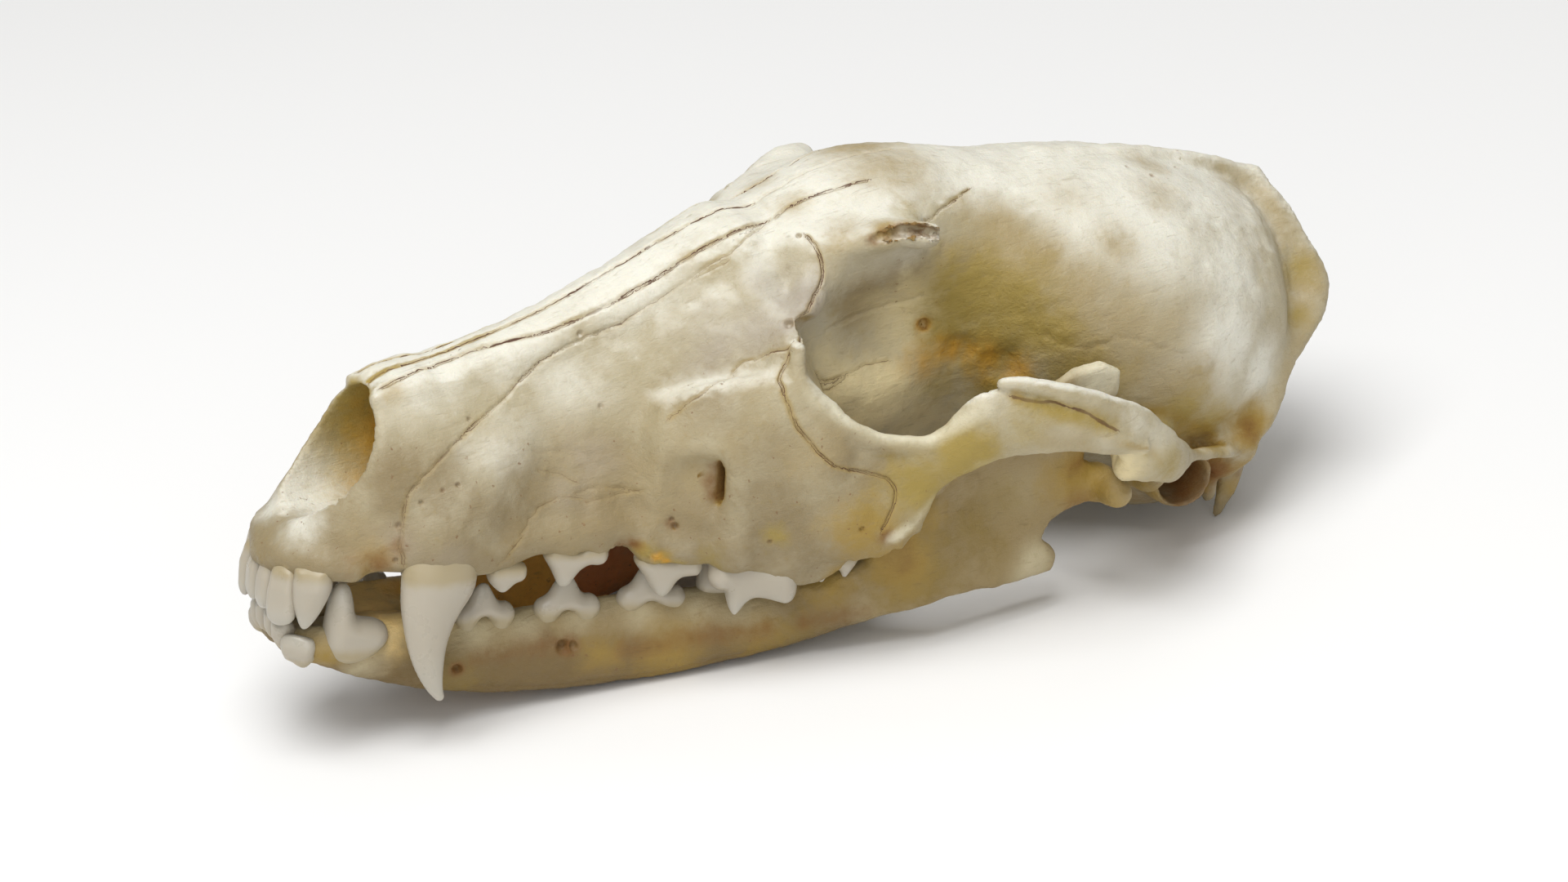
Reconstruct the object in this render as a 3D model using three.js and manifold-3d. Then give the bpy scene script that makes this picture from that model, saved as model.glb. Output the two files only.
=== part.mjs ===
// Dog skull, dry bone: the cranium, the two bones of the lower jaw and 42 teeth, standing on a table.
// Millimetres, Z up, the snout towards -Y and the animal's left towards +X.
// Every piece is shaped in the skull's own frame, where the front of the palate is at 0, 0, 0 and the
// row of upper teeth is level. At the end the whole skull is tipped back until it stands.

import * as THREE from "three";
import { mergeVertices } from "three/addons/utils/BufferGeometryUtils.js";
import Module from "manifold-3d";

const wasm = await Module();
wasm.setup();

// Driving dimensions.
const boneStep = 1.35; // spacing of the samples in the bones
const toothStep = 0.5; // and in the teeth
const socketGap = 0.6; // air between a root and its socket
const midGap = 0.2; // each jaw bone keeps this far from the middle
const craniumTriangles = 2840; // before the sockets are cut
const jawTriangles = 600;
const sliver = 0.003; // an edge that costs less than this is only a leftover of a cut
const outside = 9; // value of a sample well away from the shape

// A smooth curve through the rows, with each number of a row blended like a place.
function smoothRows(rows, steps = 4) {
  if (rows.length < 3) return rows;
  const last = rows.length - 1;
  const beyond = (a, b) => a.map((v, i) => 2 * v - b[i]);
  const line = [beyond(rows[0], rows[1]), ...rows, beyond(rows[last], rows[last - 1])];
  const out = [];
  for (let i = 1; i < line.length - 2; i++) {
    const [a, b, c, d] = line.slice(i - 1, i + 3);
    for (let k = 0; k < steps; k++) {
      const s = k / steps;
      out.push(b.map((v, j) => 0.5 * (2 * v + (c[j] - a[j]) * s
        + (2 * a[j] - 5 * v + 4 * c[j] - d[j]) * s * s
        + (3 * v - a[j] - 3 * c[j] + d[j]) * s * s * s)));
    }
  }
  out.push(rows[last]);
  return out;
}

// Distance to an ellipsoid of radii a, b, c from the point x, y, z.
function roundDistance(x, y, z, a, b, c) {
  const k = Math.hypot(x / a, y / b, z / c);
  const slope = Math.hypot(x / (a * a), y / (b * b), z / (c * c));
  return slope < 1e-9 ? -Math.min(a, b, c) : (k * (k - 1)) / slope;
}

// A block of samples in which shapes are blended together or cut away, like clay.
class Clay {
  constructor(low, high, step) {
    this.low = low;
    this.step = step;
    this.count = low.map((a, i) => Math.ceil((high[i] - a) / step) + 1);
    const total = this.count[0] * this.count[1] * this.count[2];
    this.value = new Float32Array(total).fill(outside);
    this.shape = new Float32Array(total);
  }

  walk(low, high, visit) {
    const from = low.map((v, i) => Math.max(0, Math.ceil((v - this.low[i]) / this.step)));
    const to = high.map((v, i) => Math.min(this.count[i] - 1, Math.floor((v - this.low[i]) / this.step)));
    for (let i = from[0]; i <= to[0]; i++) {
      for (let j = from[1]; j <= to[1]; j++) {
        const row = (i * this.count[1] + j) * this.count[2];
        const x = this.low[0] + i * this.step;
        const y = this.low[1] + j * this.step;
        for (let k = from[2]; k <= to[2]; k++) visit(row + k, x, y, this.low[2] + k * this.step);
      }
    }
  }

  // Blends the union of the pieces in, or cuts it away; soften is the width of the fillet.
  blend(pieces, { soften = 3, remove = false } = {}) {
    const margin = soften + 3;
    const low = [0, 1, 2].map((i) => Math.min(...pieces.map((p) => p.low[i])) - margin);
    const high = [0, 1, 2].map((i) => Math.max(...pieces.map((p) => p.high[i])) + margin);
    const { value, shape } = this;
    this.walk(low, high, (n) => {
      shape[n] = outside;
    });
    for (const p of pieces) {
      const near = p.low.map((v) => v - margin);
      const far = p.high.map((v) => v + margin);
      this.walk(near, far, (n, x, y, z) => {
        shape[n] = Math.min(shape[n], p.distance(x, y, z));
      });
    }
    this.walk(low, high, (n) => {
      const a = remove ? -value[n] : value[n];
      const b = shape[n];
      const h = Math.max(soften - Math.abs(a - b), 0);
      const joined = Math.min(a, b) - (soften > 0 ? (h * h) / (4 * soften) : 0);
      value[n] = remove ? -joined : joined;
    });
    return this;
  }

  // An ellipsoid.
  blob(centre, radii, options) {
    return this.blend([{
      low: centre.map((v, i) => v - radii[i]),
      high: centre.map((v, i) => v + radii[i]),
      distance: (x, y, z) => roundDistance(x - centre[0], y - centre[1], z - centre[2], ...radii),
    }], options);
  }

  // A bent rod. Each row is x, y, z, half its height and half its width. The height stands along up,
  // or, where away is given, points away from that place.
  strap(rows, { up = [0, 0, 1], away = null, ...options } = {}) {
    const line = smoothRows(rows);
    const pieces = [];
    for (let i = 0; i + 1 < line.length; i++) {
      const [a, b] = [line[i], line[i + 1]];
      const start = new THREE.Vector3(...a);
      const run = new THREE.Vector3(...b).sub(start);
      const length = run.length();
      const along = run.clone().normalize();
      const tall = away
        ? start.clone().addScaledVector(run, 0.5).sub(new THREE.Vector3(...away))
        : new THREE.Vector3(...up);
      tall.addScaledVector(along, -tall.dot(along)).normalize();
      const wide = along.clone().cross(tall);
      const reach = Math.max(a[3], a[4], b[3], b[4]);
      pieces.push({
        low: [0, 1, 2].map((k) => Math.min(a[k], b[k]) - reach),
        high: [0, 1, 2].map((k) => Math.max(a[k], b[k]) + reach),
        distance: (x, y, z) => {
          const px = x - a[0];
          const py = y - a[1];
          const pz = z - a[2];
          const far = px * along.x + py * along.y + pz * along.z;
          const t = Math.min(Math.max(far / length, 0), 1);
          const high = a[3] + (b[3] - a[3]) * t;
          const broad = a[4] + (b[4] - a[4]) * t;
          return roundDistance(
            px * tall.x + py * tall.y + pz * tall.z,
            px * wide.x + py * wide.y + pz * wide.z,
            far - t * length,
            high, broad, Math.min(high, broad));
        },
      });
    }
    return this.blend(pieces, options);
  }

  // A hull along Y. Each row is y, top, height of the widest line, bottom, half width and how square
  // the upper half is (2 is an ellipse).
  hull(rows, options) {
    const line = smoothRows(rows, 6);
    const reach = Math.max(...rows.map((r) => r[4]));
    const at = (y) => {
      let i = 0;
      while (i < line.length - 2 && line[i + 1][0] < y) i++;
      const t = Math.min(Math.max((y - line[i][0]) / (line[i + 1][0] - line[i][0]), 0), 1);
      return line[i].map((v, j) => v + (line[i + 1][j] - v) * t);
    };
    let place = NaN;
    let row = null;
    const distance = (x, y, z) => {
      if (y !== place) [place, row] = [y, at(y)];
      const [, top, wide, bottom, half, square] = row;
      const power = z > wide ? square : 2.6;
      const v = Math.abs(z - wide) / (z > wide ? top - wide : wide - bottom);
      const k = Math.max(Math.pow(Math.pow(Math.abs(x) / half, power) + Math.pow(v, power), 1 / power), 1e-3);
      const across = Math.hypot(x, z - wide) * (1 - 1 / k);
      return Math.max(across, rows[0][0] - y, y - rows[rows.length - 1][0]);
    };
    return this.blend([{
      low: [-reach, rows[0][0], Math.min(...rows.map((r) => r[3]))],
      high: [reach, rows[rows.length - 1][0], Math.max(...rows.map((r) => r[1]))],
      distance,
    }], options);
  }

  // A plate with an outline of y, z corners; middle and thick give its middle x and half thickness.
  plate(outline, middle, thick, { round = 1, ...options } = {}) {
    const xs = outline.map(([y, z]) => middle(y, z));
    const ys = outline.map(([y]) => y);
    const zs = outline.map(([, z]) => z);
    const distance = (x, y, z) => {
      let near = Infinity;
      let inside = false;
      outline.forEach(([y0, z0], i) => {
        const [y1, z1] = outline[(i + 1) % outline.length];
        const [ey, ez, wy, wz] = [y1 - y0, z1 - z0, y - y0, z - z0];
        const t = Math.min(Math.max((wy * ey + wz * ez) / (ey * ey + ez * ez), 0), 1);
        near = Math.min(near, (wy - t * ey) ** 2 + (wz - t * ez) ** 2);
        if (z0 > z !== z1 > z && y < y0 + (ey * wz) / ez) inside = !inside;
      });
      const a = (inside ? -1 : 1) * Math.sqrt(near) + round;
      const b = Math.abs(x - middle(y, z)) - thick(y, z) + round;
      return Math.min(Math.max(a, b), 0) + Math.hypot(Math.max(a, 0), Math.max(b, 0)) - round;
    };
    return this.blend([{
      low: [Math.min(...xs) - 6, Math.min(...ys), Math.min(...zs)],
      high: [Math.max(...xs) + 6, Math.max(...ys), Math.max(...zs)],
      distance,
    }], options);
  }

  // The surface where the samples pass zero. Each cell is cut into six tetrahedra, so the surface never
  // pinches. A volume that starts at x 0 leaves it open there.
  surface() {
    const [nx, ny, nz] = this.count;
    const offset = (c) => ((c & 1) * ny + ((c >> 1) & 1)) * nz + ((c >> 2) & 1);
    const offsets = [0, 1, 2, 3, 4, 5, 6, 7].map(offset);
    const cuts = [[1, 3], [1, 5], [2, 3], [2, 6], [4, 5], [4, 6]].map(([a, b]) => [0, a, b, 7]);
    const points = [];
    const faces = [];
    const made = new Map();
    const value = new Array(8);
    for (let i = 0; i + 1 < nx; i++) {
      for (let j = 0; j + 1 < ny; j++) {
        for (let k = 0; k + 1 < nz; k++) {
          const cell = (i * ny + j) * nz + k;
          let filled = 0;
          for (let c = 0; c < 8; c++) {
            const v = this.value[cell + offsets[c]];
            value[c] = Math.abs(v) < 1e-4 ? 1e-4 : v;
            if (value[c] < 0) filled++;
          }
          if (filled === 0 || filled === 8) continue;
          const corner = (c) => [i + (c & 1), j + ((c >> 1) & 1), k + ((c >> 2) & 1)];
          const crossing = (c, d) => {
            const [p, q] = c < d ? [c, d] : [d, c];
            const key = (cell + offsets[p]) * 8 + (p ^ q);
            if (!made.has(key)) {
              const t = Math.min(Math.max(value[p] / (value[p] - value[q]), 0.04), 0.96);
              const [a, b] = [corner(p), corner(q)];
              made.set(key, points.length);
              points.push(a.map((v, n) => this.low[n] + this.step * (v + (b[n] - v) * t)));
            }
            return made.get(key);
          };
          for (const tet of cuts) {
            const within = tet.filter((c) => value[c] < 0);
            const without = tet.filter((c) => value[c] >= 0);
            if (!within.length || !without.length) continue;
            let ring;
            if (within.length === 1) ring = without.map((c) => crossing(within[0], c));
            else if (without.length === 1) ring = within.map((c) => crossing(c, without[0]));
            else {
              const [[a, b], [c, d]] = [within, without];
              ring = [crossing(a, c), crossing(a, d), crossing(b, d), crossing(b, c)];
            }
            const mean = (list) => [0, 1, 2]
              .map((n) => list.reduce((s, c) => s + corner(c)[n], 0) / list.length);
            const [m0, m1] = [mean(within), mean(without)];
            const [p, q, r] = ring.map((n) => points[n]);
            const [ux, uy, uz] = q.map((v, n) => v - p[n]);
            const [vx, vy, vz] = r.map((v, n) => v - p[n]);
            const facing = (uy * vz - uz * vy) * (m1[0] - m0[0]) + (uz * vx - ux * vz) * (m1[1] - m0[1])
              + (ux * vy - uy * vx) * (m1[2] - m0[2]);
            if (facing < 0) ring.reverse();
            faces.push([ring[0], ring[1], ring[2]]);
            if (ring.length === 4) faces.push([ring[0], ring[2], ring[3]]);
          }
        }
      }
    }
    return { points, faces };
  }
}

// Fewer triangles: the edges whose loss moves the surface least go first, down to the target or until
// the next loss costs more than most. Points on x 0 stay there when middle is set, so that the
// mirrored half still fits.
function thinned({ points, faces }, target, { middle = false, most = Infinity } = {}) {
  const spot = points.map((p) => [...p]);
  const flat = spot.map((p) => middle && Math.abs(p[0]) < 1e-6);
  const around = spot.map(() => new Set());
  const face = faces.map((f) => [...f]);
  const sums = spot.map(() => new Float64Array(10));
  const version = new Int32Array(spot.length);
  const cross = (p, q, r) => {
    const [ux, uy, uz] = [q[0] - p[0], q[1] - p[1], q[2] - p[2]];
    const [vx, vy, vz] = [r[0] - p[0], r[1] - p[1], r[2] - p[2]];
    return [uy * vz - uz * vy, uz * vx - ux * vz, ux * vy - uy * vx];
  };
  face.forEach((f, n) => {
    const [p, q, r] = f.map((v) => spot[v]);
    const c = cross(p, q, r);
    const area = Math.hypot(...c) + 1e-12;
    const [a, b, d] = c.map((v) => v / area);
    const e = -(a * p[0] + b * p[1] + d * p[2]);
    const terms = [a * a, a * b, a * d, a * e, b * b, b * d, b * e, d * d, d * e, e * e];
    f.forEach((v) => {
      around[v].add(n);
      terms.forEach((t, i) => {
        sums[v][i] += t * area;
      });
    });
  });
  const error = (s, [x, y, z]) => s[0] * x * x + 2 * s[1] * x * y + 2 * s[2] * x * z + 2 * s[3] * x
    + s[4] * y * y + 2 * s[5] * y * z + 2 * s[6] * y + s[7] * z * z + 2 * s[8] * z + s[9];
  const best = (a, b) => {
    const s = sums[a].map((v, i) => v + sums[b][i]);
    const mid = spot[a].map((v, i) => (v + spot[b][i]) / 2);
    const tries = [mid, spot[a], spot[b]];
    const onPlane = flat[a] || flat[b];
    if (onPlane) {
      const det = s[4] * s[7] - s[5] * s[5];
      if (det > 1e-6 * s[4] * s[7] + 1e-12) {
        tries.push([0, (s[5] * s[8] - s[6] * s[7]) / det, (s[5] * s[6] - s[4] * s[8]) / det]);
      }
    } else {
      const m = new THREE.Matrix3().set(s[0], s[1], s[2], s[1], s[4], s[5], s[2], s[5], s[7]);
      const det = m.determinant();
      if (Math.abs(det) > 1e-4 * Math.max(s[0] * s[4] * s[7], 1e-9)) {
        const v = new THREE.Vector3(-s[3], -s[6], -s[8]).applyMatrix3(m.invert());
        tries.push([v.x, v.y, v.z]);
      }
    }
    const length = Math.hypot(...spot[a].map((v, i) => v - spot[b][i]));
    let found = null;
    for (const t of tries) {
      const at = onPlane ? [0, t[1], t[2]] : t;
      if (Math.hypot(...at.map((v, i) => v - mid[i])) > 1.5 * length) continue;
      const cost = Math.max(error(s, at), 0) + 2e-5 * length * length;
      if (!found || cost < found.cost) found = { cost, at };
    }
    return found;
  };
  const heap = [];
  const swap = (i, j) => ([heap[i], heap[j]] = [heap[j], heap[i]]);
  const push = (item) => {
    let i = heap.push(item) - 1;
    while (i > 0 && heap[(i - 1) >> 1].cost > heap[i].cost) {
      swap(i, (i - 1) >> 1);
      i = (i - 1) >> 1;
    }
  };
  const pop = () => {
    swap(0, heap.length - 1);
    const item = heap.pop();
    for (let i = 0; ;) {
      let c = 2 * i + 1;
      if (c >= heap.length) break;
      if (c + 1 < heap.length && heap[c + 1].cost < heap[c].cost) c++;
      if (heap[c].cost >= heap[i].cost) break;
      swap(c, i);
      i = c;
    }
    return item;
  };
  const neighbours = (v) => {
    const out = new Set();
    for (const n of around[v]) face[n].forEach((w) => w !== v && out.add(w));
    return out;
  };
  const offer = (a, b) => {
    const found = best(a, b);
    if (found) push({ a, b, va: version[a], vb: version[b], ...found });
  };
  face.forEach(([a, b, c]) => {
    [[a, b], [b, c], [c, a]].forEach(([p, q]) => (p < q || (flat[p] && flat[q])) && offer(p, q));
  });
  let left = face.length;
  while (left > target && heap.length && heap[0].cost <= most) {
    const { a, b, va, vb, at } = pop();
    if (version[a] !== va || version[b] !== vb) continue;
    const shared = [...around[a]].filter((n) => around[b].has(n));
    const rim = flat[a] && flat[b];
    if (shared.length !== 2 && !(rim && shared.length === 1)) continue;
    const nearB = neighbours(b);
    if ([...neighbours(a)].filter((v) => nearB.has(v)).length !== shared.length) continue;
    const turned = [a, b].some((v) => [...around[v]].some((n) => {
      if (shared.includes(n)) return false;
      const before = cross(...face[n].map((w) => spot[w]));
      const after = cross(...face[n].map((w) => (w === v ? at : spot[w])));
      const dot = before[0] * after[0] + before[1] * after[1] + before[2] * after[2];
      return dot <= 0.3 * Math.hypot(...before) * Math.hypot(...after) || Math.hypot(...after) < 1e-3;
    }));
    if (turned) continue;
    spot[a] = at;
    flat[a] = flat[a] || flat[b];
    sums[a] = sums[a].map((v, i) => v + sums[b][i]);
    for (const n of shared) {
      face[n].forEach((v) => around[v].delete(n));
      face[n] = null;
      left--;
    }
    for (const n of around[b]) {
      face[n] = face[n].map((v) => (v === b ? a : v));
      around[a].add(n);
    }
    around[b].clear();
    version[a]++;
    version[b]++;
    for (const v of neighbours(a)) offer(a, v);
  }
  const number = new Map();
  const kept = [];
  const out = face.filter(Boolean).map((f) => f.map((v) => {
    if (!number.has(v)) {
      number.set(v, kept.length);
      kept.push(spot[v]);
    }
    return number.get(v);
  }));
  return { points: kept, faces: out };
}

// The same shape with every point moved out by the gap: the socket of a tooth.
function swollen({ points, faces }, gap) {
  const out = points.map(() => new THREE.Vector3());
  for (const face of faces) {
    const [a, b, c] = face.map((v) => new THREE.Vector3(...points[v]));
    const turn = b.sub(a).cross(c.sub(a));
    face.forEach((v) => out[v].add(turn));
  }
  return { points: points.map((p, v) => out[v].setLength(gap).toArray().map((d, i) => p[i] + d)), faces };
}

// Both halves of a shape that was made for x over 0 only.
function mirrored({ points, faces }) {
  const other = points.map((p) => [-p[0], p[1], p[2]]);
  const back = faces.map(([a, b, c]) => [a + points.length, c + points.length, b + points.length]);
  return { points: [...points, ...other], faces: [...faces, ...back] };
}

function geometryOf({ points, faces }) {
  const geometry = new THREE.BufferGeometry();
  geometry.setAttribute("position", new THREE.Float32BufferAttribute(points.flat(), 3));
  geometry.setIndex(faces.flat());
  return mergeVertices(geometry, 1e-4);
}

function solidOf(shape) {
  const geometry = geometryOf(shape);
  return new wasm.Manifold(new wasm.Mesh({
    numProp: 3,
    vertProperties: geometry.attributes.position.array,
    triVerts: new Uint32Array(geometry.index.array),
  }));
}

// Points and faces of a solid, without the crumbs that a cut may leave beside it.
function shapeOf(solid) {
  const mesh = solid.decompose().sort((a, b) => b.volume() - a.volume())[0].getMesh();
  const points = [];
  for (let i = 0; i < mesh.vertProperties.length; i += mesh.numProp) {
    points.push([...mesh.vertProperties.subarray(i, i + 3)]);
  }
  const faces = [];
  for (let i = 0; i < mesh.triVerts.length; i += 3) faces.push([...mesh.triVerts.subarray(i, i + 3)]);
  return { points, faces };
}

// Cranium, the half at x over 0.
const headHalf = new Clay([0, -5, -10], [48, 193, 66], boneStep);
headHalf.hull([ // muzzle: y, top, widest line, bottom, half width, squareness
  [-2.4, 2.5, 1.2, 0.2, 2, 2],
  [0, 5.5, 1.5, -0.8, 6.8, 2],
  [3, 8, 2.2, -1, 9.6, 2.4],
  [8, 10.6, 3, -0.5, 11.8, 2.6],
  [11.4, 14.5, 3.5, 0, 12.9, 2.8],
  [13.6, 21.5, 4, 0, 13.8, 2.4],
  [16.4, 27.4, 4, 0, 15, 2],
  [21, 29, 4, 0, 16, 2],
  [28, 30.6, 5, 0.3, 15.8, 1.9],
  [36, 32.8, 6, 0.5, 15.6, 1.8],
  [44, 35.6, 7, 0.5, 16.3, 1.7],
  [52, 39.4, 7, 0.5, 18.3, 1.65],
  [60, 43.2, 7, 1, 21.3, 1.7],
  [68, 46.8, 8, 0.9, 24.8, 1.9],
  [75, 48, 9, 0.4, 27.4, 2.2],
  [81, 40, 9, 0.2, 28.4, 2],
  [87, 24, 7.5, 0.4, 27.4, 2],
  [92, 15, 6.5, 1.4, 24, 2],
  [96, 11, 6, 3, 16, 2],
], { soften: 0 });
headHalf.strap([ // nasal roof
  [0, 19, 26.2, 2.6, 5.6],
  [0, 26, 27.6, 2.9, 6.2],
  [0, 35, 30.3, 3, 6.2],
  [0, 45, 33.8, 3, 6.2],
  [0, 55, 38.2, 3.2, 6.6],
  [0, 65, 42.6, 3.6, 7.6],
  [0, 75, 47, 4, 9],
], { soften: 4 });
headHalf.strap([ // tip of the nasal bone
  [4.2, 22, 27.2, 1.6, 2.6],
  [5, 17, 26.2, 1.3, 2],
  [5.8, 13.8, 25.6, 0.9, 1.2],
], { soften: 2 });
headHalf.hull([ // forehead and braincase
  [66, 43, 36, 14, 9, 2],
  [73, 47.4, 39, 12, 13, 2],
  [80, 51.4, 41, 9, 15.4, 2],
  [88, 55.4, 42, 8, 16.8, 2],
  [97, 57.4, 44, 8, 17.8, 2],
  [106, 57.8, 43, 9, 16.2, 2],
  [114, 57.2, 41, 9, 17, 1.9],
  [122, 56.6, 36, 7, 21.8, 1.9],
  [132, 56.2, 31, 5.5, 26.8, 2],
  [143, 55.6, 29, 5, 29.2, 2],
  [153, 54, 27, 5, 28.8, 2],
  [162, 51.6, 25, 6, 26, 2],
  [169, 48.6, 23, 8, 21.5, 2],
  [175, 44.5, 22, 11, 15, 2],
], { soften: 3 });
headHalf.blob([37, 96, 33], [24, 24.5, 17], { soften: 2.5, remove: true }); // eye socket
headHalf.strap([ // ledge over the eye socket
  [11, 83, 46.4, 3, 4],
  [14, 90, 47.8, 3, 4.8],
  [18, 97, 49.2, 3, 4.8],
  [23.8, 101.6, 49.6, 1.6, 2.4],
], { soften: 4 });
headHalf.strap([ // rim in front of the eye socket
  [13.4, 85, 45.6, 2.2, 2.4],
  [16.8, 82, 42.4, 2.4, 2.4],
  [20.2, 78.2, 38.8, 2.6, 2.6],
  [23.2, 75, 33.6, 2.6, 2.6],
  [26, 75.4, 26.8, 3, 2.8],
  [28.8, 79.4, 20.8, 3.2, 2.8],
], { soften: 4 });
headHalf.strap([ // cheek arch: the cheekbone
  [18, 58, 17, 10, 4],
  [22.6, 66, 17, 14.5, 4.4],
  [26.2, 73.5, 15.6, 15, 4.2],
  [29.6, 80.5, 12.2, 10.6, 3.4],
  [32.4, 87.5, 12, 8.6, 2.7],
  [34.8, 93.5, 17, 4.4, 2.3],
  [37.2, 99, 20.6, 3.6, 2.2],
  [39.4, 104.5, 24.2, 4.6, 2.1],
  [41, 110.5, 25.8, 5, 2],
  [42.3, 117, 25.6, 4.6, 1.9],
  [43, 124, 23.6, 3.6, 1.8],
  [42.6, 130.5, 20.6, 2.2, 1.5],
], { soften: 4 });
headHalf.strap([ // cheek arch: the part that grows from the braincase
  [39, 103.5, 31.6, 1.2, 1.2],
  [41.2, 110, 31.1, 1.6, 1.6],
  [42.7, 118, 28.7, 2.1, 2],
  [43.2, 126, 25, 3, 2.3],
  [42.2, 133, 20.4, 4.6, 2.6],
  [39.4, 138.4, 16.4, 4.6, 3.2],
  [33, 142, 14.8, 3.4, 5],
  [25, 144, 14, 4, 7],
], { soften: 2 });
headHalf.strap([ // ridge from the arch over the ear opening
  [36, 141.5, 15.4, 2, 2],
  [31.5, 149, 13, 1.8, 2],
  [29, 156, 12.4, 2, 2.2],
  [26.5, 162.5, 13, 2.4, 2.4],
], { soften: 3 });
headHalf.strap([ // ridge behind the jaw joint
  [36, 139.5, 12, 3.2, 2],
  [29, 141, 9, 4.4, 2.4],
  [23, 141.5, 9, 4, 2.6],
], { soften: 2 });
headHalf.hull([ // skull base
  [92, 26, 16, 9, 9, 2],
  [104, 28, 16, 8.5, 9, 2],
  [116, 28, 16, 7.5, 10, 2],
  [128, 26, 14, 6.5, 14, 2],
  [142, 24, 13, 5.5, 17, 2],
  [156, 24, 12, 5, 16, 2],
  [168, 22, 13, 6, 13, 2],
  [173, 17, 12, 8, 8, 2],
], { soften: 3 });
headHalf.blob([14, 148, 4.6], [8, 12, 8], { soften: 2 }); // ear bulla
headHalf.blob([25.5, 157, 11], [5, 7.5, 6.5], { soften: 4 }); // mastoid
headHalf.strap([ // process beside the neck joint
  [21, 162, 9, 3.6, 2.6],
  [20.8, 162.8, 2, 3, 1.9],
  [20, 161.8, -3.6, 1.4, 1],
], { soften: 3, up: [0, 1, 0] });
headHalf.blob([9, 169, 8.5], [5, 5.4, 6.5], { soften: 2.5 }); // condyle of the neck joint
headHalf.blob([0, 167, 28], [22, 9, 19], { soften: 4 }); // back of the head
headHalf.strap([ // crest round the back of the head
  [0, 173.8, 45.4, 3, 2.4],
  [4, 175.2, 43.8, 3.2, 2.2],
  [8.6, 177.6, 39, 3.6, 2],
  [12.6, 180, 33, 4, 1.9],
  [15, 178, 28, 4, 1.9],
  [18.4, 172.4, 23.4, 3.8, 1.9],
  [21.4, 167.6, 18.6, 3.4, 1.9],
  [23.6, 164.8, 14.6, 3, 2],
  [25.4, 161.4, 10.4, 2.6, 2.4],
], { away: [0, 150, 26], soften: 3 });
headHalf.strap([ // crest along the top
  [0, 132, 54.8, 1.2, 1.4],
  [0, 150, 53.8, 1.4, 1.4],
  [0, 165, 50, 2, 1.6],
  [0, 175, 45.5, 3, 2],
], { soften: 3 });
headHalf.strap([ // thin wall beside the throat opening
  [10, 90, 9, 8, 1.6],
  [9, 100, 7.5, 7.5, 1.3],
  [8.2, 110, 7, 7, 1.2],
  [7.8, 118, 5, 5, 1.1],
  [7.6, 123.5, 1, 1.6, 1],
], { soften: 2 });
headHalf.strap([ // root of the canine shows as a swelling
  [14, 22.5, 5, 3.6, 2.4],
  [12.8, 28, 12, 3.6, 2.8],
  [11.2, 33, 18, 3, 2.4],
], { soften: 6 });
headHalf.strap([ // nose cavity
  [0, 4, 16, 6, 6.6],
  [0, 12, 18.4, 8.4, 7],
  [0, 24, 18.6, 8, 6],
  [0, 38, 20.6, 7.4, 5.2],
  [0, 52, 24, 5.5, 4],
], { soften: 1, remove: true });
headHalf.strap([ // hollow of the palate
  [0, 8, -3.5, 3.5, 4],
  [0, 22, -4, 5, 9],
  [0, 45, -4.5, 6, 11.5],
  [0, 68, -5, 6.5, 16],
  [0, 86, -5, 6.5, 16],
], { soften: 1.5, remove: true });
headHalf.strap([[0, 84, 4, 3, 5], [0, 94, 6, 5.5, 6.6], [0, 108, 6, 6, 6.4], [0, 124, 3, 6, 6]],
  { soften: 1.5, remove: true }); // throat opening
headHalf.strap([[0, 176, 14, 8, 7.6], [0, 168, 16, 7.4, 7], [0, 156, 19, 5, 5], [0, 147, 21, 2, 2]],
  { soften: 1.5, remove: true }); // opening for the spine
headHalf.strap([[31, 151, 6.5, 3.6, 3.4], [24, 150.5, 6.5, 3.2, 3.2], [19, 150.5, 7, 1.5, 1.5]],
  { soften: 1.2, remove: true }); // ear opening
headHalf.strap([[26, 62.5, 14.4, 3.6, 1.8], [21.6, 68, 15, 3.4, 1.8], [18, 74, 16, 2, 1.2]],
  { soften: 1, remove: true }); // nerve opening below the eye

// Lower jaw, the left bone.
const jawLeft = new Clay([-2, -4, -26], [43, 138, 38], boneStep);
jawLeft.strap([ // body: x, y, z, half height, half width
  [3.2, 1.6, -13, 2.2, 3],
  [4.4, 4.5, -12.9, 2.8, 4.2],
  [5.2, 9, -13.2, 4.4, 4.7],
  [6.6, 18, -14.2, 5.8, 4.7],
  [8, 27, -15.1, 6.6, 4.3],
  [9.4, 36, -15.6, 6.9, 4],
  [11.3, 47, -15.1, 7.3, 3.8],
  [13.6, 58, -14, 7.3, 3.9],
  [16.3, 68, -13, 6.9, 4],
  [19.5, 79, -10.7, 6.8, 3.8],
  [22.4, 88, -8.4, 6.4, 3.4],
  [26.4, 97, -6, 4.6, 2.6],
], { soften: 0 });
jawLeft.strap([ // chin, where the two bones meet
  [1.6, 1.6, -12.8, 2.2, 2.4],
  [2, 8, -13.6, 4.2, 3],
  [2.2, 18, -14.8, 5, 3],
  [2.6, 28, -15.6, 4.6, 3],
  [3.4, 36, -15.8, 3, 2.6],
], { soften: 2 });
const ramusCorners = [ // ramus: y, z corners
  [84, -13.6], [93, -11], [103, -8], [112, -6.3], [118, -5.2], [122.4, -4.4], [123, -2], [120, 1.2],
  [121.5, 4], [126, 6], [130.5, 8], [130, 12], [126, 14.5], [127, 20], [131, 25.5], [130.6, 29.4],
  [127, 31], [122.4, 30.2], [117, 27], [108.5, 20.5], [100, 12.5], [94.5, 6], [90, -0.6], [82, -5.6],
];
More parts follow.
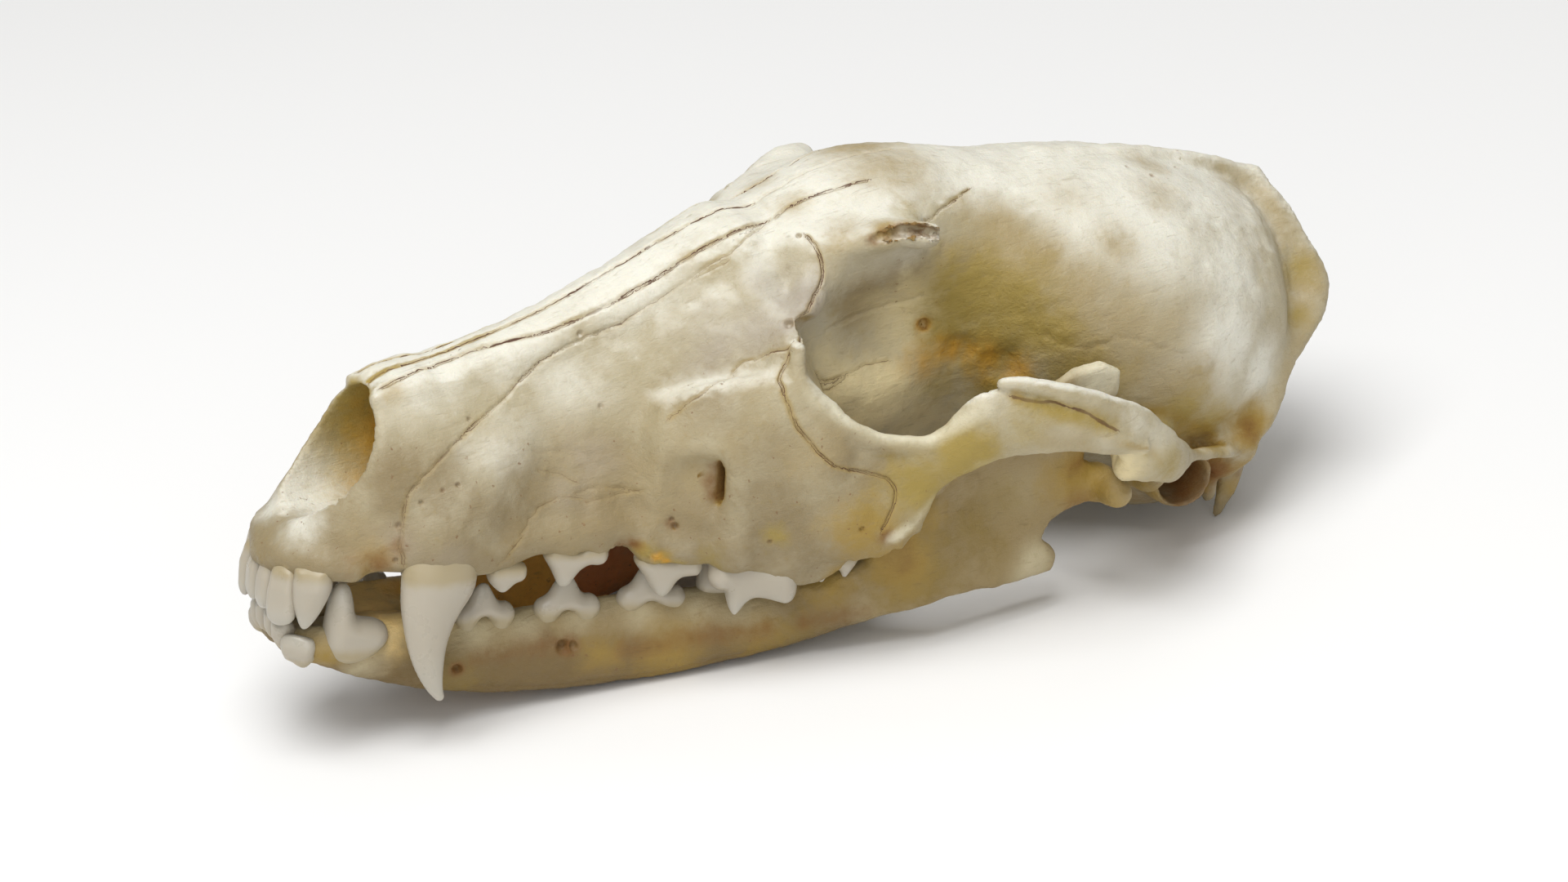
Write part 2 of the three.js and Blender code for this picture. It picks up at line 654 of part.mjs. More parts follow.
jawLeft.plate(ramusCorners,
  (y, z) => 20.6 + 8.4 * Math.min(Math.max((y - 79) / 20, 0), 1) + 0.08 * (z + 5),
  (y, z) => 1.5 + 1 * Math.min(Math.max((-z + 6) / 12, 0), 1), { soften: 3, round: 1.2 });
jawLeft.strap([ // jaw joint
  [24.5, 129.5, 8.6, 2.2, 2.2],
  [30, 130.4, 9.6, 2.8, 2.8],
  [36.5, 129.8, 10, 2.4, 2.4],
], { soften: 2.5 });
jawLeft.strap([[29.4, 112, -3.4, 2.6, 1.6], [29.6, 121, -2.6, 1.8, 1.4]], { soften: 2 }); // lower corner
jawLeft.strap([ // ridge along the front of the ramus
  [26.6, 91, 2, 1.6, 1.2],
  [28.8, 98, 8, 1.6, 1.2],
  [30, 107, 13.6, 1.4, 1.2],
], { soften: 2 });
jawLeft.blob([37.2, 112, 10], [6, 11, 9], { soften: 3, remove: true }); // hollow for the chewing muscle
jawLeft.blend([{ // flat face towards the other bone
  low: [-9, -9, -40],
  high: [midGap, 150, 50],
  distance: (x) => x - midGap,
}], { soften: 0, remove: true });

// Teeth. Across, along the row and up the crown are x, y and z of a tooth's own frame.
function crown(cusps, lobes, roots) {
  const clay = new Clay([-11, -13, -7], [9, 13, 13], toothStep);
  for (const [across, along, width, length, height] of lobes) {
    clay.blob([across, along, 0.1 * height], [width, length, height], { soften: 1 });
  }
  for (const [across, along, height, length, width, lean = 0] of cusps) {
    clay.strap([
      [across, along, -0.5, length, width],
      [across, along + 0.2 * lean, 0.35 * height, 0.66 * length, 0.86 * width],
      [across, along + 0.6 * lean, 0.72 * height, 0.3 * length, 0.56 * width],
      [across, along + lean, height - 0.45, 0.5, 0.45],
    ], { up: [0, 1, 0], soften: 1 });
  }
  for (const [across, along, length, width] of roots) {
    clay.strap([
      [across, along, 0, length, width],
      [across, along, -2.2, 0.85 * length, 0.85 * width],
      [across, along, -4.4, 0.55 * length, 0.55 * width],
    ], { up: [0, 1, 0], soften: 0.8 });
  }
  return clay;
}

const incisor = (length, height) => crown(
  [[0.1, 0, height, 0.5 * length, 1.9]], [[0, 0, 1.9, 0.45 * length, 1.5]], [[-0.2, 0, 0.36 * length, 1.5]]);
const premolar = (length, height, width) => crown(
  [[0, -0.04 * length, height, 0.36 * length, width, -0.04 * length],
    [0, 0.3 * length, 0.42 * height, 0.16 * length, 0.8 * width]],
  [[0, -0.27 * length, width, 0.22 * length, 1.5], [0, 0.27 * length, width, 0.22 * length, 1.5]],
  length < 7 ? [[0, 0, 0.3 * length, 0.8 * width]]
    : [[0, -0.26 * length, 0.17 * length, 0.8 * width], [0, 0.26 * length, 0.17 * length, 0.8 * width]]);
const canine = (rows) => new Clay([-6, -9, -14], [7, 12, 22], toothStep)
  .strap(rows, { up: [0, 1, 0], soften: 0 });
const upperCanine = canine([ // across, along, up the crown, half length, half width
  [-1.8, 3, -10, 3.6, 2.6],
  [-0.9, 1.4, -4.5, 5, 3.2],
  [0, 0.2, 0, 5.8, 3.4],
  [0.8, -0.2, 6, 4.2, 2.9],
  [1.1, -0.3, 12, 2.4, 2],
  [1.1, 0.2, 16.4, 1.3, 1.2],
  [1, 1, 19.4, 0.6, 0.55],
]);
const lowerCanine = canine([
  [-1.6, 5.6, -6.4, 2.6, 2.2],
  [-1, 3.2, -3.8, 4, 2.8],
  [0, 0, 0, 4.8, 3.1],
  [0.6, -2.6, 4, 3.6, 2.7],
  [0.9, -3.8, 7.4, 2.4, 2.1],
  [0.9, -3.9, 9.9, 1.3, 1.2],
]);
const upperMolar = (scale) => crown(
  [[4.4 * scale, -2.5 * scale, 4.6 * scale, 2.6 * scale, 1.9 * scale],
    [4.2 * scale, 2.5 * scale, 4.2 * scale, 2.4 * scale, 1.9 * scale],
    [-3.6 * scale, -0.8 * scale, 2.6 * scale, 2.2 * scale, 2 * scale]],
  [[3.4 * scale, 0, 3 * scale, 5.4 * scale, 2 * scale],
    [-2.6 * scale, 0, 4.6 * scale, 4 * scale, 1.8 * scale]],
  [[3.4 * scale, 0, 3.4 * scale, 1.9 * scale], [-3 * scale, 0, 2.6 * scale, 2.4 * scale]]);

// name, shape, x, y, z of the neck, turn of the row in degrees, lean outwards in degrees.
const upperTeeth = [
  ["incisor_1", incisor(3.3, 6.6), 2, 0.6, 0.2, 84, 12],
  ["incisor_2", incisor(3.9, 7.6), 5.8, 1.5, 0.2, 66, 12],
  ["incisor_3", crown([[0.2, 0, 8.4, 2.6, 2, -1]], [[0, 0, 2, 2.6, 1.6]], [[-0.2, 0, 2, 1.6]]),
    9.9, 4.3, 0.2, 22, 6],
  ["canine", upperCanine, 14.6, 21.2, 0.8, 4, 2],
  ["premolar_1", premolar(6.2, 4.2, 1.7), 14.2, 33.1, 0.6, 4, 4],
  ["premolar_2", premolar(11, 5.6, 1.9), 15.4, 44.7, 1.8, 8, 2],
  ["premolar_3", premolar(12, 6.2, 2.1), 18.4, 58.6, 0.6, 16, 2],
  ["premolar_4", crown(
    [[0.2, -3, 8, 4.4, 2.7, 0.4], [0.2, 4, 6, 3.8, 2.3, 0.8]],
    [[0, -3.6, 2.9, 4, 2.2], [0, 3.6, 2.5, 4, 2.2], [-3.2, -5, 2, 1.8, 1.6]],
    [[0, -4.6, 2.6, 2], [0, 4.6, 2.6, 1.8]]), 23.8, 71.5, 0.9, 20, 3],
  ["molar_1", upperMolar(0.84), 23.2, 84.2, 0.8, 2, 0],
  ["molar_2", upperMolar(0.5), 21, 91.8, 2.4, -12, 0],
];
const lowerTeeth = [
  ["incisor_1", incisor(2.3, 4.4), 1.7, 1.4, -11.4, 86, 10],
  ["incisor_2", incisor(2.5, 4.6), 4.5, 2, -11.2, 78, 10],
  ["incisor_3", incisor(2.8, 4.8), 7.2, 3.6, -10.8, 50, 10],
  ["canine", lowerCanine, 8.8, 12, -11.4, 2, 4],
  ["premolar_1", premolar(4.2, 3.2, 1.5), 8.6, 21.4, -9, 4, 2],
  ["premolar_2", premolar(10, 5.8, 1.8), 10.4, 31.6, -8.9, 8, 2],
  ["premolar_3", premolar(11, 6.4, 1.9), 12.2, 45, -8.8, 10, 2],
  ["premolar_4", premolar(11.4, 6.8, 2), 14.7, 58.4, -8, 14, 2],
  ["molar_1", crown(
    [[0, -6.6, 6.8, 4.5, 2.3, -0.2], [0, -0.6, 7.8, 4.2, 2.5, 0.6], [0.6, 6, 3.6, 2.8, 2.4]],
    [[0, -4.8, 2.6, 4.6, 1.8], [0, 4.6, 2.8, 4.4, 1.8]],
    [[0, -5, 3, 2], [0, 5, 2.8, 2]]), 17.8, 74.9, -6.8, 17, 0],
  ["molar_2", crown(
    [[0.4, -1.4, 3, 2.2, 1.9], [0.2, 2, 2.4, 1.5, 1.6]], [[0, 0, 2.4, 3.5, 1.4]], [[0, 0, 2.6, 1.9]]),
    21, 88.2, -4.8, 18, 0],
  ["molar_3", crown([[0.2, 0, 1.9, 1.6, 1.5]], [[0, 0, 1.6, 1.9, 1]], [[0, 0, 1.3, 1.2]]),
    22.6, 93.6, -3.8, 18, 0],
];

function placed(shape, [, , x, y, z, turn, lean], upper) {
  const side = upper ? -1 : 1;
  const matrix = new THREE.Matrix4().makeTranslation(x, y, z)
    .multiply(new THREE.Matrix4().makeRotationZ(-THREE.MathUtils.degToRad(turn)))
    .multiply(new THREE.Matrix4().makeRotationY(side * THREE.MathUtils.degToRad(lean)))
    .multiply(new THREE.Matrix4().makeScale(1, 1, side));
  const points = shape.points.map((p) => new THREE.Vector3(...p).applyMatrix4(matrix).toArray());
  const faces = shape.faces.map(([a, b, c]) => (upper ? [a, c, b] : [a, b, c]));
  return { points, faces };
}

const mirror = ({ points, faces }) => ({
  points: points.map(([x, y, z]) => [-x, y, z]),
  faces: faces.map(([a, b, c]) => [a, c, b]),
});

const pieces = [];
const sockets = { upper: [], lower: [] };
for (const [jaw, teeth] of [["upper", upperTeeth], ["lower", lowerTeeth]]) {
  for (const row of teeth) {
    const [name, clay] = row;
    const budget = name.startsWith("incisor") ? 40 : /premolar_4|molar_1/.test(name) ? 90 : 66;
    const tooth = placed(thinned(clay.surface(), budget), row, jaw === "upper");
    pieces.push([`${jaw}_${name}_left`, tooth, "enamel"], [`${jaw}_${name}_right`, mirror(tooth), "enamel"]);
    sockets[jaw].push(solidOf(swollen(tooth, socketGap)));
  }
}

const halfHead = thinned(headHalf.surface(), craniumTriangles / 2, { middle: true });
let head = solidOf(mirrored(halfHead));
for (const socket of sockets.upper) {
  head = head.subtract(socket).subtract(socket.mirror([1, 0, 0]));
}
pieces.push(["cranium", thinned(shapeOf(head), 0, { most: sliver }), "bone"]);
let jaw = solidOf(thinned(jawLeft.surface(), jawTriangles));
for (const socket of sockets.lower) jaw = jaw.subtract(socket);
const jawBone = thinned(shapeOf(jaw), 0, { most: sliver });
pieces.push(["mandible_left", jawBone, "bone"], ["mandible_right", mirror(jawBone), "bone"]);

// Tip the skull back until it stands on the lower jaw and on the skull base.
const lowest = (tip, keep) => {
  let low = Infinity;
  for (const [, shape] of pieces) {
    for (const [, y, z] of shape.points) {
      if (keep(y)) low = Math.min(low, z * Math.cos(tip) - y * Math.sin(tip));
    }
  }
  return low;
};
let [less, more] = [0, 0.4];
for (let i = 0; i < 30; i++) {
  const tip = (less + more) / 2;
  if (lowest(tip, (y) => y < 110) < lowest(tip, (y) => y > 130)) less = tip;
  else more = tip;
}

const colours = { bone: 0xe3d9be, enamel: 0xe9e6dc };
const skull = new THREE.Group();
for (const [name, shape, look] of pieces) {
  const material = new THREE.MeshStandardMaterial({ name: look, color: colours[look], roughness: 0.6 });
  const mesh = new THREE.Mesh(geometryOf(shape), material);
  mesh.name = name;
  skull.add(mesh);
}
skull.rotation.x = -less;
skull.updateMatrixWorld(true);
const box = new THREE.Box3().setFromObject(skull, true);
skull.position.set(-(box.min.x + box.max.x) / 2, -(box.min.y + box.max.y) / 2, -box.min.z);
const root = new THREE.Group();
root.add(skull);

export default root;
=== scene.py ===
# Dog skull, dry bone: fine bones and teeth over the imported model, on a plain studio floor.
import math
import bpy
import numpy as np
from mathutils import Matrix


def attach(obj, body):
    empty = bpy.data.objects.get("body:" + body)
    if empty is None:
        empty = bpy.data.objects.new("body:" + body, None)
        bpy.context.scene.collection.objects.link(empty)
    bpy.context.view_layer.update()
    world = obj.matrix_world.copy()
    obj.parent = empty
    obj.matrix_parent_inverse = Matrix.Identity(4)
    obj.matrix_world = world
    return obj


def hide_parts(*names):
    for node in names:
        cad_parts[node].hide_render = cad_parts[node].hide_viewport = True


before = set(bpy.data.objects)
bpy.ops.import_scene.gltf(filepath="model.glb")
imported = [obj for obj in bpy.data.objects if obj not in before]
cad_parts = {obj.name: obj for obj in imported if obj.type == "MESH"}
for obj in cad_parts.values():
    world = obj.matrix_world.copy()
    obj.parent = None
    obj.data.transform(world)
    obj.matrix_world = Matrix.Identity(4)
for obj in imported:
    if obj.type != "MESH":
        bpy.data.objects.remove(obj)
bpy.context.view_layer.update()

import openvdb
from mathutils import Matrix, Vector, noise

print("frame loaded:", len(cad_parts), "nodes")
noise.seed_set(1)  # else the waves along the seams start from the clock

# Bones and teeth are shaped in the skull's own frame, in millimetres: the front of the palate is at
# 0, 0, 0, the upper tooth row is level, the snout points to -Y and the animal's left is +X.
stance = {"tip": 9.4526, "move": (0, -91.738, 30.898)}  # degrees back, then moved onto the floor
tipCos = math.cos(math.radians(stance["tip"]))
tipSin = math.sin(math.radians(stance["tip"]))


def turnBack(vectors):
    x, y, z = vectors.T
    return np.stack([x, y * tipCos + z * tipSin, z * tipCos - y * tipSin], 1)


def onTable(points):
    return (turnBack(np.asarray(points, float)) + stance["move"]) * 0.001


# clay: a block of samples where shapes are blended in or cut away
def smoothRows(rows, steps=4):
    rows = np.asarray(rows, float)
    if len(rows) < 3:
        return rows
    line = np.vstack([2 * rows[0] - rows[1], rows, 2 * rows[-1] - rows[-2]])
    out = []
    for i in range(1, len(line) - 2):
        a, b, c, d = line[i - 1:i + 3]
        for k in range(steps):
            s = k / steps
            out.append(0.5 * (2 * b + (c - a) * s + (2 * a - 5 * b + 4 * c - d) * s * s
                              + (3 * b - a - 3 * c + d) * s ** 3))
    out.append(rows[-1])
    return np.array(out)


def roundDistance(x, y, z, a, b, c):
    k = np.sqrt((x / a) ** 2 + (y / b) ** 2 + (z / c) ** 2)
    slope = np.sqrt((x / a ** 2) ** 2 + (y / b ** 2) ** 2 + (z / c ** 2) ** 2)
    return k * (k - 1) / np.maximum(slope, 1e-6)


def outlineDepth(y, z, corners):
    # how far inside an outline of y, z corners a place is, less than 0 outside it
    near, inside = np.float32(1e9), np.zeros(np.broadcast(y, z).shape, bool)
    for (y0, z0), (y1, z1) in zip(corners, np.roll(corners, -1, 0)):
        ey, ez, wy, wz = y1 - y0, z1 - z0, y - y0, z - z0
        t = np.clip((wy * ey + wz * ez) / max(ey * ey + ez * ez, 1e-9), 0, 1)
        near = np.minimum(near, (wy - t * ey) ** 2 + (wz - t * ez) ** 2)
        if ez:
            inside ^= ((z0 > z) != (z1 > z)) & (y < y0 + ey * wz / ez)
    return np.where(inside, 1, -1) * np.sqrt(near)


class Clay:
    def __init__(self, low, high, step):
        self.low = np.array(low, float)
        self.step = step
        self.count = np.ceil((np.array(high) - self.low) / step).astype(int) + 1
        self.value = np.full(self.count, emptyClay, np.float32)

    def part(self, low, high):
        a = np.clip(np.ceil((np.asarray(low) - self.low) / self.step), 0, self.count).astype(int)
        b = np.clip(np.floor((np.asarray(high) - self.low) / self.step) + 1, a, self.count).astype(int)
        axes = [(self.low[i] + self.step * np.arange(a[i], b[i])).astype(np.float32) for i in range(3)]
        return a, b, axes[0][:, None, None], axes[1][None, :, None], axes[2][None, None, :]

    def blend(self, pieces, soften=3, remove=False):
        margin = soften + 3
        low = np.min([p[0] for p in pieces], 0) - margin
        high = np.max([p[1] for p in pieces], 0) + margin
        a, b, *_ = self.part(low, high)
        shape = np.full(b - a, emptyClay, np.float32)
        for near, far, distance in pieces:
            c, d, x, y, z = self.part(np.asarray(near) - margin, np.asarray(far) + margin)
            if np.any(d <= c):
                continue
            here = tuple(slice(i, j) for i, j in zip(c - a, d - a))
            shape[here] = np.minimum(shape[here], distance(x, y, z))
        whole = tuple(slice(i, j) for i, j in zip(a, b))
        old = -self.value[whole] if remove else self.value[whole]
        joined = np.minimum(old, shape)
        if soften > 0:
            joined -= np.maximum(soften - np.abs(old - shape), 0) ** 2 / (4 * soften)
        self.value[whole] = -joined if remove else joined
        return self

    def blob(self, centre, radii, turn=0, **how):
        # an ellipsoid; turn is in degrees about the vertical
        cx, cy, cz = centre
        c, s = math.cos(math.radians(turn)), math.sin(math.radians(turn))
        reach = np.array([max(radii[:2])] * 2 + [radii[2]]) if turn else np.array(radii)
        return self.blend([(np.array(centre) - reach, np.array(centre) + reach, lambda x, y, z: roundDistance(
            (x - cx) * c + (y - cy) * s, (y - cy) * c - (x - cx) * s, z - cz, *radii))], **how)

    def strap(self, rows, up=(0, 0, 1), away=None, **how):
        # a bent rod; each row is x, y, z, half height, half width
        line = smoothRows(rows)
        pieces = []
        for a, b in zip(line[:-1], line[1:]):
            run = b[:3] - a[:3]
            length = np.linalg.norm(run)
            along = run / length
            tall = np.array(up, float) if away is None else (a[:3] + b[:3]) / 2 - np.array(away, float)
            tall = tall - along * (tall @ along)
            tall /= np.linalg.norm(tall)
            wide = np.cross(along, tall)
            reach = max(a[3], a[4], b[3], b[4])

            def distance(x, y, z, a=a, b=b, along=along, tall=tall, wide=wide, length=length):
                px, py, pz = x - np.float32(a[0]), y - np.float32(a[1]), z - np.float32(a[2])
                far = px * along[0] + py * along[1] + pz * along[2]
                t = np.clip(far / length, 0, 1)
                high = a[3] + (b[3] - a[3]) * t
                broad = a[4] + (b[4] - a[4]) * t
                return roundDistance(
                    px * tall[0] + py * tall[1] + pz * tall[2], px * wide[0] + py * wide[1] + pz * wide[2],
                    far - t * length, high, broad, np.minimum(high, broad))

            pieces.append((np.minimum(a[:3], b[:3]) - reach, np.maximum(a[:3], b[:3]) + reach, distance))
        return self.blend(pieces, **how)

    def hull(self, rows, **how):
        # a hull along Y; each row is y, top, height of the widest line, bottom, half width, squareness
        line = smoothRows(rows, 6)
        rows = np.asarray(rows, float)
        reach = rows[:, 4].max()

        def distance(x, y, z):
            top, wide, bottom, half, square = [
                np.interp(y, line[:, 0], line[:, k]).astype(np.float32) for k in range(1, 6)]
            power = np.where(z > wide, square, np.float32(2.6))
            v = np.abs(z - wide) / np.where(z > wide, top - wide, wide - bottom)
            k = np.maximum(((np.abs(x) / half) ** power + v ** power) ** (1 / power), 1e-3)
            across = np.hypot(x, z - wide) * (1 - 1 / k)
            return np.maximum(across, np.maximum(rows[0, 0] - y, y - rows[-1, 0]))

        return self.blend([((-reach, rows[0, 0], rows[:, 3].min()),
                            (reach, rows[-1, 0], rows[:, 1].max()), distance)], **how)

    def plate(self, corners, middle, thick, round=1, **how):
        # a plate with y, z corners; middle and thick give its middle x and its half thickness
        corners = np.asarray(corners, float)
        xs = [middle(y, z) for y, z in corners]

        def distance(x, y, z):
            a = round - outlineDepth(y, z, corners)
            b = np.abs(x - middle(y, z)) - thick(y, z) + round
            return np.minimum(np.maximum(a, b), 0) + np.hypot(np.maximum(a, 0), np.maximum(b, 0)) - round

        return self.blend([((min(xs) - 6, *corners.min(0)), (max(xs) + 6, *corners.max(0)), distance)], **how)

    def sample(self, points):
        # the block's value at points, blended from the eight samples around each
        p = np.clip((np.asarray(points) - self.low) / self.step, 0, self.count - 1.001)
        i = p.astype(int)
        f = p - i
        out = np.zeros(len(p))
        for c in range(8):
            o = np.array([c & 1, c >> 1 & 1, c >> 2 & 1])
            weight = np.prod(np.where(o, f, 1 - f), 1)
            out += weight * self.value[tuple((i + o).T)]
        return out

    def slope(self, points):
        out = np.stack([self.sample(points + self.step * axis) - self.sample(points - self.step * axis)
                        for axis in np.eye(3)], 1)
        return out / np.maximum(np.linalg.norm(out, axis=1), 1e-6)[:, None]

    def settle(self, points, steps=3):
        # points moved straight onto the clay's surface
        for _ in range(steps):
            points = points - self.slope(points) * self.sample(points)[:, None]
        return points

    def mirroredAcross(self):
        # the whole block, for one that starts at x 0
        whole = Clay(self.low, self.low, self.step)
        whole.value = np.concatenate([self.value[:0:-1], self.value])
        whole.count = np.array(whole.value.shape)
        whole.low = self.low - np.array([(self.count[0] - 1) * self.step, 0, 0])
        return whole

    def surface(self):
        grid = openvdb.FloatGrid(float(emptyClay))
        grid.copyFromArray(np.ascontiguousarray(self.value))
        points, triangles, quads = grid.convertToPolygons(0.0, 0.0)
        return self.low + self.step * points, triangles, quads


# all in mm: between the samples of a bone and of a tooth, from the middle plane to each lower jaw
boneStep, toothStep, midGap = ((0.6, 0.3, 0.2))
emptyClay = 9  # a block starts out this far from any surface

# cranium, the half at x over 0
headHalf = Clay([0, -5, -10], [48, 193, 66], boneStep)
headHalf.hull([  # muzzle: y, top, widest line, bottom, half width, squareness
    [-2.4, 2.5, 1.2, 0.2, 2, 2], [0, 5.5, 1.5, -0.8, 6.8, 2], [2, 8.2, 2, -0.9, 9, 2.2],
    [4, 11.4, 2.3, -1, 10.3, 2.4], [6.3, 14.9, 2.7, -0.8, 11.2, 2.5], [8.8, 19.2, 3, -0.5, 12.1, 2.5],
    [11.4, 23.6, 3.5, 0, 13, 2.4], [13.6, 26.8, 4, 0, 13.9, 2.2], [16.4, 28, 4, 0, 15, 2], [21, 29, 4, 0, 16, 2],
    [28, 30.6, 5, 0.3, 15.8, 1.9], [36, 32.8, 6, 0.5, 15.6, 1.8], [44, 35.6, 7, 0.5, 16.3, 1.7],
    [52, 39.4, 7, 0.5, 18.3, 1.65], [60, 43.2, 7, 1, 21.3, 1.7], [68, 46.8, 8, 0.9, 24.8, 1.9],
    [75, 48, 9, 0.4, 27.4, 2.2], [81, 40, 9, 0.2, 28.4, 2], [87, 24, 7.5, 0.4, 27.4, 2], [92, 15, 6.5, 1.4, 24, 2],
    [96, 11, 6, 3, 16, 2],
], soften=0)
headHalf.strap([  # nasal roof
    [0, 19, 26.2, 2.6, 5.6], [0, 26, 27.6, 2.9, 6.2], [0, 35, 30.3, 3, 6.2], [0, 45, 33.8, 3, 6.2],
    [0, 55, 38.2, 3.2, 6.6], [0, 65, 42.6, 3.6, 7.6], [0, 75, 47, 4, 9],
], soften=4)
headHalf.strap([  # tip of the nasal bone
    [3.6, 22, 28.2, 1.6, 2.8], [4, 17, 27.4, 1.2, 2], [4.7, 14, 26.8, 0.7, 0.9],
], soften=2)
headHalf.hull([  # forehead and braincase
    [66, 43, 36, 14, 9, 2], [73, 47.4, 39, 12, 13, 2], [80, 51.4, 41, 9, 15.4, 2], [88, 55.4, 42, 8, 16.8, 2],
    [97, 57.8, 44, 8, 17.8, 2.2], [106, 58.4, 43, 9, 16.2, 2.2], [114, 57.6, 41, 9, 17, 2],
    [122, 56.6, 36, 7, 21.8, 1.9], [132, 56.2, 31, 5.5, 26.8, 2], [143, 55.6, 29, 5, 29.2, 2],
    [153, 54, 27, 5, 28.8, 2], [162, 51.6, 25, 6, 26, 2], [169, 48.6, 23, 8, 21.5, 2], [175, 44.5, 22, 11, 15, 2],
], soften=3)
headHalf.blob([37, 96, 33], [24, 24.5, 17], soften=2.5, remove=True)  # eye socket
headHalf.strap([  # ledge over the eye socket
    [11, 83, 46.8, 3, 4], [14, 89, 48.4, 2.7, 4.5], [17.8, 95.4, 50.4, 2.2, 4.2], [20.8, 99.6, 50.6, 1.8, 2.6],
], soften=4)
headHalf.strap([[17, 91, 50.6, 1, 1.6], [20, 96, 51.8, 1.1, 1.8], [21.6, 100, 51.6, 0.9, 1.2]], soften=2)
headHalf.strap([  # rim in front of the eye socket
    [13.4, 85, 45.6, 2.2, 2.4], [16.8, 82, 42.4, 2.4, 2.4], [20.2, 78.2, 38.8, 2.6, 2.6], [23.2, 75, 33.6, 2.6, 2.6],
    [26, 75.4, 26.8, 3, 2.8], [28.8, 79.4, 20.8, 3.2, 2.8],
], soften=4)
headHalf.strap([  # cheek arch: the cheekbone
    [18, 58, 17, 10, 4], [22.6, 66, 17, 14.5, 4.4], [26.2, 73.5, 15.6, 15, 4.2], [29.6, 80.5, 12.8, 11.2, 3.4],
    [32.4, 87.5, 13, 9.8, 2.7], [34.8, 93.5, 17.8, 4.8, 2.3], [37, 98.6, 21.2, 4.4, 2.2],
    [39.2, 103.6, 25.4, 5.8, 2.2], [41.4, 110.5, 25.2, 4.6, 2.2], [43, 117, 24.4, 3.6, 2.2],
    [44.4, 123, 22.6, 2.4, 1.9], [45.4, 127.8, 21.4, 0.9, 1],
], soften=4)
headHalf.strap([  # cheek arch: the part that grows from the braincase
    [39.6, 103.8, 32.2, 0.9, 1], [40.6, 106.5, 32.2, 1.2, 1.3], [41.6, 110, 31.6, 1.5, 1.5],
    [42.8, 116, 29.6, 2.1, 1.8], [43, 121.5, 26.8, 3, 2], [42.9, 127, 22.9, 4.4, 2.2], [42.4, 131.6, 18.6, 4.6, 2.3],
], soften=0.5)
headHalf.strap([  # root of that part
    [42.4, 131.6, 18.6, 4.2, 2.3], [40.8, 136.2, 16.6, 3.8, 2.6], [36.5, 139, 15.2, 3.2, 2.8],
    [31, 140.6, 14.4, 3.2, 3.6], [24, 141.5, 14, 4, 5.4],
], soften=2)
headHalf.strap([  # ridge from the arch over the ear opening
    [37, 140.6, 15.4, 1, 1.4], [32, 147.4, 13, 0.9, 1.6], [28.8, 155, 11.6, 0.9, 1.8], [25.2, 161.4, 10, 1, 1.8],
], soften=3)
headHalf.strap([  # ridge behind the jaw joint
    [34, 139.8, 13.4, 2.2, 1.8], [29, 141, 10, 3.6, 2.2], [23, 141.5, 9, 4, 2.6],
], soften=2)
headHalf.hull([  # skull base
    [92, 26, 16, 9, 9, 2], [104, 28, 16, 8.5, 9, 2], [116, 28, 16, 7.5, 10, 2], [128, 26, 14, 6.5, 14, 2],
    [142, 24, 13, 5.5, 17, 2], [156, 24, 12, 5, 16, 2], [168, 22, 13, 6, 13, 2], [173, 17, 12, 8, 8, 2],
], soften=3)
headHalf.blob([14, 149.5, 6], [8, 11.5, 8], soften=2)  # ear bulla
headHalf.blob([22.6, 159.4, 9.8], [3.8, 4.6, 5.4], soften=3)  # mastoid
headHalf.strap([  # process beside the neck joint
    [20.6, 162, 9, 3.6, 2.4], [20.6, 163, 3, 2.4, 1.6], [20.2, 162.4, -1, 1.3, 1], [19.8, 161.8, -3.6, 0.7, 0.6],
], soften=2, up=[0, 1, 0])
headHalf.blob([22, 158, 2.6], [1.6, 1.3, 2.6], soften=1)  # small knob beside it
headHalf.blob([9, 169, 8.5], [5, 5.4, 6.5], soften=2.5)  # condyle of the neck joint
headHalf.blob([0, 167, 28], [22, 9, 19], soften=4)  # back of the head
headHalf.strap([  # crest round the back of the head
    [0, 174.4, 46.6, 3, 2.4], [4, 175.8, 44.8, 3.2, 2.2], [8.6, 178, 39.4, 3.6, 2], [12.6, 180, 33, 4, 1.9],
    [15.4, 176.8, 28, 3.8, 1.9], [18.4, 171.4, 23.4, 3.3, 1.9], [21.4, 167.6, 18.6, 3.4, 1.9],
    [23.6, 164.8, 14.6, 3, 2], [24.6, 160.8, 10.8, 2.2, 2.2],
], away=[0, 150, 26], soften=3)
headHalf.strap([  # crest along the top
    [0, 132, 54.8, 1.2, 1.4], [0, 150, 54, 1.4, 1.4], [0, 165, 51.2, 2, 1.6], [0, 174.5, 47, 3, 2],
], soften=3)
headHalf.strap([  # thin wall beside the throat opening
    [10, 90, 9, 8, 1.6], [9, 100, 7.5, 7.5, 1.3], [8.2, 110, 7, 7, 1.2], [7.8, 118, 5, 5, 1.1],
    [7.6, 123.5, 1, 1.6, 1],
], soften=2)
headHalf.strap([  # root of the canine shows as a swelling
    [14, 22.5, 5, 3.6, 2.4], [12.8, 28, 12, 3.6, 2.8], [11.2, 33, 18, 3, 2.4],
], soften=6)
headHalf.strap([  # edge of the bone along the upper tooth row: x, y, z, half height, half width
    [14.6, 27, 3, 2.8, 2.2], [15, 31, 3.2, 2.6, 2], [15.6, 36, 5, 2.4, 2], [16.2, 43, 5.6, 2.4, 2.2],
    [17.6, 50, 6.4, 2.2, 2.2], [19.6, 57, 3.6, 2.6, 2.4], [22.2, 63.5, 4.4, 2.6, 2.4], [24.6, 69.5, 3, 2.6, 2.2],
    [26.2, 76.5, -0.4, 2.8, 2], [26.8, 82, 0.4, 2.8, 2], [27, 86.5, 3.4, 2.6, 2],
], soften=2.6)
